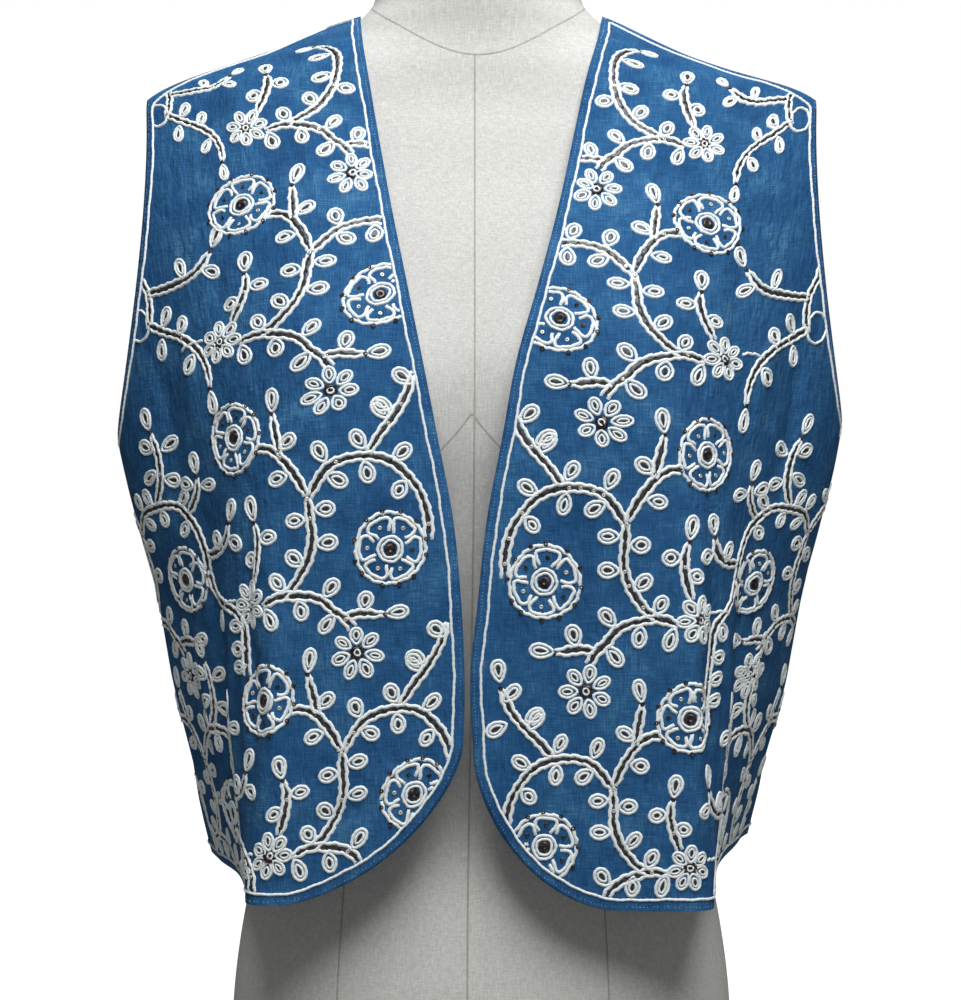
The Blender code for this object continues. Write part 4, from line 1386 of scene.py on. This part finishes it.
def back_lines(outline, gap_top, gap_hem):
    """The lines sewn inside half of the back: one round its armhole and shoulder, and one along its hem."""
    armhole, shoulder, hem = (
        resample(part, EDGE_STEP) for part in (outline["armhole"][::-1], outline["shoulder"], outline["hem"])
    )
    found = []
    for run, gap in ((np.concatenate([armhole[:-1], shoulder]), gap_top), (hem, gap_hem)):
        moved = [run + sides_of(run) * gap * hand for hand in (-1, 1)]
        moved = min(moved, key=lambda points: np.linalg.norm(points - BACK_INSIDE, axis=1).sum())
        space, _ = nearest(moved, run)
        moved = moved[space > gap - BORDER_SLACK]
        found.append(smoothed(resample(moved, BACK_STEP)))
    return found


THREAD_PROFILE = ((-1, -0.3), (-0.62, 0.62), (0, 0.85), (0.62, 0.62), (1, -0.3))
TACK_PROFILE = ((-1, -0.2), (0, 0.22), (1, -0.2))
FILL_PROFILE = ((-1, 0.05), (0, 0.42), (1, 0.05))
FILL_OVERLAP = 0.22  # how far each sequin of a row rises over the next
# Strips: the shortest, how far they swell and rise with each link (the parts above a height), and how their
# open ends sink into the cloth.
STRIP = {
    "least": 0.6, "closed_step": 0.82, "swell": 0.13, "rise": 0.12, "upper": 0.3, "sunk": -0.2, "low": 0.85,
    "sequin": 2.3,
}
JOIN_WITHIN = 2e-6  # metres
SEQUIN_SIDES = 10
# A sequin's section from its hole to its rim and back: shares of its radius, and heights.
SEQUIN_SECTION = ((0.3, 0.22), (0.62, 0.42), (1.0, 0.2), (0.97, 0.1), (0.32, 0.08))
SEQUIN_LIFT = 0.15
LARGE_SEQUIN = 3.0  # the radius above which a sequin, such as a flower's middle one, has a small hole
HOLE_EDGE, SMALL_HOLE = 0.4, 0.12  # shares of the radius
ASKEW = (0.3, 0.1, 1.0)  # any direction that no sequin faces


def join_ends(mesh):
    """Joins the two ends of each line that runs back to its start."""
    bm = bmesh.new()
    bm.from_mesh(mesh)
    bmesh.ops.remove_doubles(bm, verts=[vert for vert in bm.verts if vert.is_boundary], dist=JOIN_WITHIN)
    bm.to_mesh(mesh)
    bm.free()


def strips_mesh(name, surface, runs, profile, step, link=0.0, overlap=0.0):
    """Raised lines on the worn cloth, all in one mesh. Each run is its flat points and its width. The profile
    is a line's cross-section: shares of half the width, and heights. It swells and rises with each link of
    chain stitch, and slants up along each sequin of an overlapping row."""
    bm = bmesh.new()
    places, maps = [], []
    # Across a line from its right to its left, so that its faces are turned outward, as the left is mirrored.
    section = profile[:: -1 if surface.side == "right" else 1]
    offsets, heights = (np.array(part, float) for part in zip(*section))
    for points, width in runs:
        if along(points)[-1] < STRIP["least"]:
            continue
        closed = np.linalg.norm(points[0] - points[-1]) < STRIP["least"]
        points = resample(points, step * (STRIP["closed_step"] if closed else 1.0))
        run = along(points)
        aside = sides_of(points)
        if closed:
            aside[0] = aside[-1] = unit(aside[0] + aside[-1])
        links = np.cos(run * 2 * math.pi * round(run[-1] / link) / run[-1]) if link else run * 0
        wide = width / 2 * (1 + STRIP["swell"] * links)
        grid = points[:, None] + aside[:, None] * (offsets[None, :, None] * wide[:, None, None])
        lifts = heights + STRIP["rise"] * links[:, None] * (heights > STRIP["upper"])
        if not closed:
            lifts[[0, -1]] = STRIP["sunk"]
            lifts[[1, -2]] *= STRIP["low"]
        lifts += overlap * ((run / STRIP["sequin"]) % 1.0)[:, None]
        found, normals = lay(surface, grid.reshape(-1, 2))
        found = found + normals * lifts.reshape(-1, 1)
        if surface.side == "left":
            found = mirror(found)
        places.append(found)
        across = np.repeat(offsets[None] * width / 2, len(points), axis=0)
        maps.append(np.column_stack([np.repeat(run, len(offsets)), across.ravel()]))
        bmesh.ops.create_grid(bm, x_segments=len(offsets) - 1, y_segments=len(points) - 1, size=1.0)
    mesh = mesh_from(bm, name)
    set_points(mesh, np.concatenate(places))
    set_map(mesh, np.concatenate(maps))
    join_ends(mesh)
    return mesh


def washer_mesh():
    """One thin holed disc, a closed ring of faces."""
    bm = bmesh.new()
    bmesh.ops.create_circle(bm, cap_ends=False, segments=SEQUIN_SIDES, radius=1.0)
    first = edges = list(bm.edges)
    for _ in SEQUIN_SECTION[1:]:
        grown = bmesh.ops.extrude_edge_only(bm, edges=edges)["geom"]
        edges = upper_edges(grown)
    bmesh.ops.bridge_loops(bm, edges=first + edges)
    return mesh_from(bm, "washer")


def sequins_mesh(name, surface, sequins, dice):
    """Loose sequins, each a thin holed disc lying on the cloth a little askew."""
    one = washer_mesh()
    turns = unit(np.array([(vert.co.x, vert.co.y) for vert in one.vertices]))
    # The washer's rings follow one another in the order in which they were grown.
    section = np.repeat(np.array(SEQUIN_SECTION), SEQUIN_SIDES, axis=0)
    small_hole = np.where(section[:, 0] < HOLE_EDGE, SMALL_HOLE, section[:, 0])
    bm = bmesh.new()
    for _ in sequins:
        bm.from_mesh(one)
    mesh = mesh_from(bm, name)
    bpy.data.meshes.remove(one)
    middle, normal = lay(surface, np.array([sequin[0] for sequin in sequins]))
    points = []
    for (_, radius, kind, lift), point, up in zip(sequins, middle, normal):
        up = unit(up + dice.uniform(*HAND["tilt"], 3))
        side = unit(np.cross(up, ASKEW))
        fore = np.cross(up, side)
        reach = radius * (small_hole if radius > LARGE_SEQUIN else section[:, 0])
        high = section[:, 1] + SEQUIN_LIFT + lift
        level = np.outer(turns[:, 0] * reach, side) + np.outer(turns[:, 1] * reach, fore)
        points.append(point + level + np.outer(high, up))
    points = np.concatenate(points)
    if surface.side == "left":
        points = mirror(points)
    set_points(mesh, points)
    tone = mesh.attributes.new("clear", "FLOAT", "POINT")
    values = np.repeat([kind == "clear" for _, _, kind, _ in sequins], len(turns))
    tone.data.foreach_set("value", values.astype(np.float32))
    turn_outward(mesh)
    return mesh


def tacks(path):
    """Every running stitch along a path, as a short run of points."""
    path = resample(path, TACKING["step"])
    run = along(path)
    found, at = [], 0.0
    while at + TACKING["long"] < run[-1]:
        found.append(path[(run >= at) & (run <= at + TACKING["long"])])
        at += TACKING["long"] + TACKING["space"]
    return [part for part in found if len(part) > 2]


# ---- Materials ----

WHITE = (1.0, 1.0, 1.0, 1.0)


def linear(shade):
    """Scene colour of an sRGB hex shade."""
    channels = [int(shade[at : at + 2], 16) / 255 for at in (1, 3, 5)]
    return (*(c / 12.92 if c <= 0.04045 else ((c + 0.055) / 1.055) ** 2.4 for c in channels), 1.0)


def fill_in(tree, node, **inputs):
    """Gives each of a node's inputs a value, or another node's output."""
    for name, value in inputs.items():
        socket = node.inputs[int(name[1:])] if name[1:].isdigit() else node.inputs[name.replace("_", " ")]
        if isinstance(value, bpy.types.NodeSocket):
            tree.links.new(value, socket)
        else:
            socket.default_value = value


def add(tree, kind, settings=(), **inputs):
    """Adds a node. Its settings are attributes."""
    node = tree.nodes.new(kind)
    for name, value in dict(settings).items():
        setattr(node, name, value)
    fill_in(tree, node, **inputs)
    return node


def ramp(tree, value, stops):
    node = add(tree, "ShaderNodeValToRGB", Fac=value)
    marks = node.color_ramp.elements
    while len(marks) < len(stops):
        marks.new(0.5)
    for mark, (at, shade) in zip(marks, stops):
        mark.position, mark.color = at, linear(shade)
    return node.outputs["Color"]


def new_material(name):
    made = bpy.data.materials.new(name)
    made.use_nodes = True
    tree = made.node_tree
    return made, tree, tree.nodes["Principled BSDF"]


def cotton_weave():
    """Plain-woven handloom cotton, dyed with indigo. Its uneven yarns take the dye unevenly, which gives
    streaks both ways over slow, cloudy changes, and its face is matt."""
    made, tree, shader = new_material("indigo_dyed_handloom_cotton")
    flat = add(tree, "ShaderNodeUVMap", {"uv_map": "flat"}).outputs["UV"]
    # The uneven parts of a yarn are about 0.7 mm wide and 11 mm long.
    tones = []
    for marks in ((1500.0, 90.0, 1.0), (90.0, 1500.0, 1.0)):
        stretched = add(tree, "ShaderNodeVectorMath", {"operation": "MULTIPLY"}, _0=flat, _1=marks)
        noise = add(
            tree, "ShaderNodeTexNoise", {"noise_dimensions": "2D"},
            Vector=stretched.outputs[0], Scale=1.0, Detail=3.0, Roughness=0.6,
        )
        tones.append(noise.outputs[0])
    heather = add(tree, "ShaderNodeMath", {"operation": "ADD"}, _0=tones[0], _1=tones[1]).outputs[0]
    halved = add(tree, "ShaderNodeMath", {"operation": "MULTIPLY"}, _0=heather, _1=0.5).outputs[0]
    # The wash changes over about 33 mm.
    wash = add(
        tree, "ShaderNodeTexNoise", {"noise_dimensions": "2D"},
        Vector=flat, Scale=30.0, Detail=5.0, Roughness=0.68,
    ).outputs[0]
    uneven = add(tree, "ShaderNodeMath", {"operation": "MULTIPLY_ADD"}, _0=wash, _1=0.6, _2=halved).outputs[0]
    tone = add(tree, "ShaderNodeMapRange", Value=uneven, From_Min=0.6, From_Max=1.0).outputs[0]
    shade = ramp(tree, tone, ((0.0, "#1c4672"), (0.4, "#275582"), (0.7, "#2e5f8c"), (1.0, "#47779a")))
    # The yarns are drawn 1.1 mm apart, about twice what they really are, so that the weave shows.
    pitch = 2 * math.pi / 0.0011
    yarns = []
    for direction in ((pitch, 0.0, 0.0), (0.0, pitch, 0.0)):
        turned = add(tree, "ShaderNodeVectorMath", {"operation": "DOT_PRODUCT"}, _0=flat, _1=direction)
        yarns.append(add(tree, "ShaderNodeMath", {"operation": "SINE"}, _0=turned.outputs["Value"]))
    woven = add(
        tree, "ShaderNodeMath", {"operation": "MULTIPLY"}, _0=yarns[0].outputs[0], _1=yarns[1].outputs[0]
    ).outputs[0]
    height = add(tree, "ShaderNodeMath", {"operation": "MULTIPLY_ADD"}, _0=halved, _1=2.0, _2=woven)
    weave = add(tree, "ShaderNodeBump", Strength=0.5, Distance=0.00012, Height=height.outputs[0]).outputs[0]
    # The stitches draw the cloth into low puckers, about 6 mm across and 17 mm long, mostly upright.
    longer = add(tree, "ShaderNodeVectorMath", {"operation": "MULTIPLY"}, _0=flat, _1=(170.0, 60.0, 1.0))
    puckers = add(
        tree, "ShaderNodeTexNoise", {"noise_dimensions": "2D"},
        Vector=longer.outputs[0], Scale=1.0, Detail=4.0, Roughness=0.62,
    ).outputs[0]
    drawn_in = add(tree, "ShaderNodeBump", Strength=1.0, Distance=0.0018, Height=puckers, Normal=weave)
    fill_in(
        tree, shader,
        Base_Color=shade, Normal=drawn_in.outputs[0], Roughness=0.9, Specular_IOR_Level=0.1,
    )
    return made


def linen_cover():
    """Undyed linen, plain-woven and stretched over the form: pale and matt, with thick and thin yarns."""
    made, tree, shader = new_material("undyed_plain_woven_linen")
    place = add(tree, "ShaderNodeTexCoord").outputs["Object"]
    # The thick parts of its yarns are about 0.6 mm wide and 4 mm long across, and 0.7 mm by 8 mm upright.
    tones = []
    for stretch in ((260.0, 260.0, 1700.0), (1400.0, 1400.0, 120.0)):
        stretched = add(tree, "ShaderNodeVectorMath", {"operation": "MULTIPLY"}, _0=place, _1=stretch)
        noise = add(
            tree, "ShaderNodeTexNoise", Vector=stretched.outputs[0], Scale=1.0, Detail=2.0, Roughness=0.6
        )
        tones.append(noise.outputs[0])
    both = add(tree, "ShaderNodeMath", {"operation": "ADD"}, _0=tones[0], _1=tones[1]).outputs[0]
    tone = add(tree, "ShaderNodeMapRange", Value=both, From_Min=0.7, From_Max=1.3).outputs[0]
    shade = ramp(tree, tone, ((0.0, "#b7b7b3"), (0.5, "#c5c5c1"), (1.0, "#d3d3cf")))
    bump = add(tree, "ShaderNodeBump", Strength=0.4, Distance=0.00015, Height=both).outputs[0]
    fill_in(tree, shader, Base_Color=shade, Normal=bump, Roughness=0.92, Specular_IOR_Level=0.2)
    return made


def linen_seam():
    """Turned and pressed seams of the same linen, drawn darker than the cover as painted shade along the
    seam's fold, in specks of 1.4 mm.
    """
    made, tree, shader = new_material("linen_seam_painted_shade")
    place = add(tree, "ShaderNodeTexCoord").outputs["Object"]
    noise = add(tree, "ShaderNodeTexNoise", Vector=place, Scale=700.0, Detail=2.0).outputs[0]
    # Painted shade: the seam's tones are darker than the cover's, standing for the shade in its fold.
    shade = ramp(tree, noise, ((0.3, "#94948c"), (0.7, "#abaaa3")))
    fill_in(tree, shader, Base_Color=shade, Roughness=0.95)
    return made


def cap_beech():
    """Turned and oiled beech: warm, with a low sheen. Its grain is 2.4 mm wide and 33 mm long."""
    made, tree, shader = new_material("oiled_turned_beech")
    place = add(tree, "ShaderNodeTexCoord").outputs["Object"]
    stretched = add(
        tree, "ShaderNodeVectorMath", {"operation": "MULTIPLY"}, _0=place, _1=(30.0, 420.0, 420.0)
    ).outputs[0]
    grain = add(tree, "ShaderNodeTexNoise", Vector=stretched, Scale=1.0, Detail=4.0, Roughness=0.6).outputs[0]
    shade = ramp(tree, grain, ((0.3, "#a98a62"), (0.55, "#bf9f75"), (0.8, "#cdb189")))
    bump = add(tree, "ShaderNodeBump", Strength=0.2, Distance=0.0001, Height=grain).outputs[0]
    fill_in(tree, shader, Base_Color=shade, Normal=bump, Roughness=0.5)
    return made


def white_thread():
    """Mercerised cotton embroidery thread, off-white with a faint lustre. Its two strands are twisted
    together, and their slanting edges come every 1.2 mm along it. Its colour carries painted shade: lighter
    on each strand's crown and darker in the grooves between them."""
    made, tree, shader = new_material("twisted_mercerised_cotton_thread")
    flat = add(tree, "ShaderNodeUVMap", {"uv_map": "flat"}).outputs["UV"]
    slant = (5200.0, 3600.0, 0.0)
    turned = add(tree, "ShaderNodeVectorMath", {"operation": "DOT_PRODUCT"}, _0=flat, _1=slant)
    twist = add(tree, "ShaderNodeMath", {"operation": "SINE"}, _0=turned.outputs["Value"]).outputs[0]
    # Painted shade: the tone follows the twist's relief, darker in the grooves between the strands.
    tone = add(tree, "ShaderNodeMapRange", Value=twist, From_Min=-1.0, From_Max=1.0).outputs[0]
    shade = ramp(tree, tone, ((0.0, "#dde3e3"), (0.5, "#e8eff0"), (1.0, "#f0f6f6")))
    bump = add(tree, "ShaderNodeBump", Strength=0.5, Distance=0.00018, Height=twist).outputs[0]
    fill_in(
        tree, shader,
        Base_Color=shade, Normal=bump, Roughness=0.6, Specular_IOR_Level=0.35, Sheen_Weight=0.1,
    )
    return made


def dark_sequins():
    """Small punched sequins: vacuum-coated gunmetal film with a dull shine, and a few of clear film."""
    made, tree, shader = new_material("punched_gunmetal_and_clear_sequin_film")
    place = add(tree, "ShaderNodeTexCoord").outputs["Object"]
    # The shade changes over 2.4 mm, so mostly from one sequin to the next.
    noise = add(tree, "ShaderNodeTexNoise", Vector=place, Scale=420.0, Detail=1.0).outputs[0]
    dark = ramp(tree, noise, ((0.35, "#211d1c"), (0.5, "#3a3330"), (0.62, "#5c4a3c"), (0.7, "#2c3038")))
    clear = add(tree, "ShaderNodeAttribute", {"attribute_name": "clear"}).outputs["Fac"]
    mixed = add(tree, "ShaderNodeMix", {"data_type": "RGBA"}, _0=clear, _6=dark, _7=linear("#dcd6cb"))
    fill_in(tree, shader, Base_Color=mixed.outputs[2], Metallic=0.55, Roughness=0.28)
    return made


def sequin_cord():
    """A close row of overlapping gunmetal sequins, tacked down along its middle: dark, with dull glints."""
    made, tree, shader = new_material("overlapped_gunmetal_sequin_row")
    flat = add(tree, "ShaderNodeUVMap", {"uv_map": "flat"}).outputs["UV"]
    # A new shade about every 2.3 mm, which is how far apart the sequins lie, and 1.4 mm across.
    stretched = add(
        tree, "ShaderNodeVectorMath", {"operation": "MULTIPLY"}, _0=flat, _1=(430.0, 700.0, 1.0)
    ).outputs[0]
    noise = add(
        tree, "ShaderNodeTexNoise", {"noise_dimensions": "2D"}, Vector=stretched, Scale=1.0, Detail=2.0
    ).outputs[0]
    shade = ramp(tree, noise, ((0.3, "#1a2029"), (0.5, "#2c333c"), (0.62, "#565450"), (0.72, "#22344c")))
    fill_in(tree, shader, Base_Color=shade, Metallic=0.3, Roughness=0.4)
    return made


# ---- The studio ----

CAMERA = {"y": -1.475, "z": 0.36, "lens": 89.1, "sensor": 36.0, "shift_x": -0.001, "near": 0.05, "far": 60.0}
FLOOR_RADIUS = 12.0
FLOOR_GLOW = 0.97  # what the camera sees of it
SKY = {"light": 0.08, "seen": 1.0}
# Lamps: where each is and what it points at, its size in metres and its power in watts.
LAMPS = (
    ("key", (0.15, -0.98, 1.84), (0, 0, 0.42), 1.3, 46.5),
    ("rear", (0.0, 1.7, 1.3), (0, 0, 0.4), 1.2, 17.0),
)


def pale_floor():
    """Matt white studio floor paint, faintly uneven over 25 mm. The camera sees it nearly white."""
    made, tree, shader = new_material("matt_white_floor_paint")
    place = add(tree, "ShaderNodeTexCoord").outputs["Object"]
    speckle = add(tree, "ShaderNodeTexNoise", Vector=place, Scale=40.0, Detail=3.0, Roughness=0.6).outputs[0]
    shade = ramp(tree, speckle, ((0.3, "#8e8e8d"), (0.7, "#969695")))
    seen = add(tree, "ShaderNodeLightPath").outputs["Is Camera Ray"]
    glow = add(tree, "ShaderNodeMath", {"operation": "MULTIPLY"}, _0=seen, _1=FLOOR_GLOW).outputs[0]
    fill_in(tree, shader, Base_Color=shade, Roughness=0.8, Emission_Color=WHITE, Emission_Strength=glow)
    return made


def make_studio():
    bm = bmesh.new()
    bmesh.ops.create_circle(bm, cap_ends=True, segments=96, radius=FLOOR_RADIUS)
    mesh = mesh_from(bm, "floor")
    mesh.materials.append(pale_floor())
    floor = placed("floor", mesh)

    world = bpy.data.worlds.new("studio")
    world.use_nodes = True
    tree = world.node_tree
    seen = add(tree, "ShaderNodeLightPath").outputs["Is Camera Ray"]
    strength = add(tree, "ShaderNodeMapRange", Value=seen, To_Min=SKY["light"], To_Max=SKY["seen"]).outputs[0]
    fill_in(tree, tree.nodes["Background"], Color=WHITE, Strength=strength)
    bpy.context.scene.world = world

    for name, place, aim, size, power in LAMPS:
        lamp = bpy.data.lights.new(name, "AREA")
        lamp.shape, lamp.size, lamp.energy = "DISK", size, power
        light = placed(name, lamp)
        light.location = place
        light.rotation_euler = (Vector(place) - Vector(aim)).to_track_quat("Z", "Y").to_euler()

    view = bpy.data.cameras.new("camera")
    view.lens, view.sensor_width, view.shift_x = CAMERA["lens"], CAMERA["sensor"], CAMERA["shift_x"]
    view.sensor_fit = "HORIZONTAL"
    view.clip_start, view.clip_end = CAMERA["near"], CAMERA["far"]
    camera = placed("camera", view)
    camera.location = (0, CAMERA["y"], CAMERA["z"])
    camera.rotation_euler = (math.radians(90), 0, 0)
    bpy.context.scene.camera = camera
    bpy.context.scene.view_settings.view_transform = "Standard"


# ---- Putting it together ----


def flat_rows(surface, rows):
    """The flat positions of a panel's rows of (place, height)."""
    return flat_of(surface, rows[..., 0], rows[..., 1])


def sewings_of(side, dice):
    """All that is charted for one front, placed on its flat cloth."""
    found = []
    for kind, targets in REPEATS[side].items():
        for target in targets:
            found.append(Sewing(placing(kind, target), dice))
            found[-1].repeat(kind, side)
    for u, v, size in SPRIGS[side]:
        found.append(Sewing(lambda points, u=u, v=v, size=size: points * size + (u, v), dice))
        found[-1].sprig()
    return found


def embroider(surface, rows, thread, film, cord):
    """The border line, the vine and the sequins of one front."""
    side = surface.side
    dice = np.random.default_rng(SEEDS[side])
    outline = panel_outline(surface, rows)
    cloth = Cloth(outline, side)
    lines, fills, sequins = [], [], []
    for sewing in sewings_of(side, dice):
        for kept, found in zip((lines, fills, sequins), sewn_on(cloth, sewing)):
            kept.extend(found)
    gaps = border_gaps(side)
    border = [(border_line(outline, gaps), BORDER["width"])]
    turned = border_line(outline, {name: (TACKING["inset"],) * 2 for name in gaps})
    tacked = [(part, TACKING["width"]) for part in tacks(turned)]
    made = []
    for name, runs, profile, step, link, overlap, finish in (
        ("vine", lines, THREAD_PROFILE, THREAD["step"], THREAD["link"], 0.0, thread),
        ("border", border, THREAD_PROFILE, THREAD["border_step"], THREAD["link"], 0.0, thread),
        ("tacking", tacked, TACK_PROFILE, FINE_STEP, 0.0, 0.0, thread),
        ("channel", fills, FILL_PROFILE, FINE_STEP, 0.0, FILL_OVERLAP, cord),
    ):
        mesh = strips_mesh(f"front_{side}_{name}", surface, runs, profile, step, link, overlap)
        made.append(piece(mesh, finish))
    mesh = sequins_mesh(f"front_{side}_sequins", surface, sequins, dice)
    made.append(piece(mesh, film))
    return made


def trim_back(surfaces, rows, thread):
    """The back's border line and running stitches, one set of pieces for each half."""
    made = []
    for side, surface in surfaces.items():
        flat = flat_rows(surface, rows[side])
        outline = {"armhole": flat[UNDERARM_ROW:, 0][::-1], "shoulder": flat[-1], "hem": flat[0]}
        border = [(run, BORDER["width"]) for run in back_lines(outline, BORDER["edge"], BORDER["hem"])]
        turned = back_lines(outline, TACKING["inset"], TACKING["inset"])
        tacked = [(part, TACKING["width"]) for run in turned for part in tacks(run)]
        for name, runs, profile, step, link in (
            ("border", border, THREAD_PROFILE, THREAD["border_step"], THREAD["link"]),
            ("tacking", tacked, TACK_PROFILE, FINE_STEP, 0.0),
        ):
            mesh = strips_mesh(f"back_{side}_{name}", surface, runs, profile, step, link)
            made.append(piece(mesh, thread))
    return made


def main():
    surfaces = {side: body_surface(side) for side in ("right", "left")}
    cotton, linen = cotton_weave(), linen_cover()
    form = make_form(linen)
    make_seams(linen_seam())
    make_cap(cap_beech())
    thread, film, cord = white_thread(), dark_sequins(), sequin_cord()
    for side, surface in surfaces.items():
        front, rows = make_front(surface, cotton)
        sewn = embroider(surface, rows, thread, film, cord)
    backs = {side: from_middle_back(surface) for side, surface in surfaces.items()}
    back, rows = make_back(backs, cotton)
    trim = trim_back(backs, rows, thread)
    make_studio()


main()
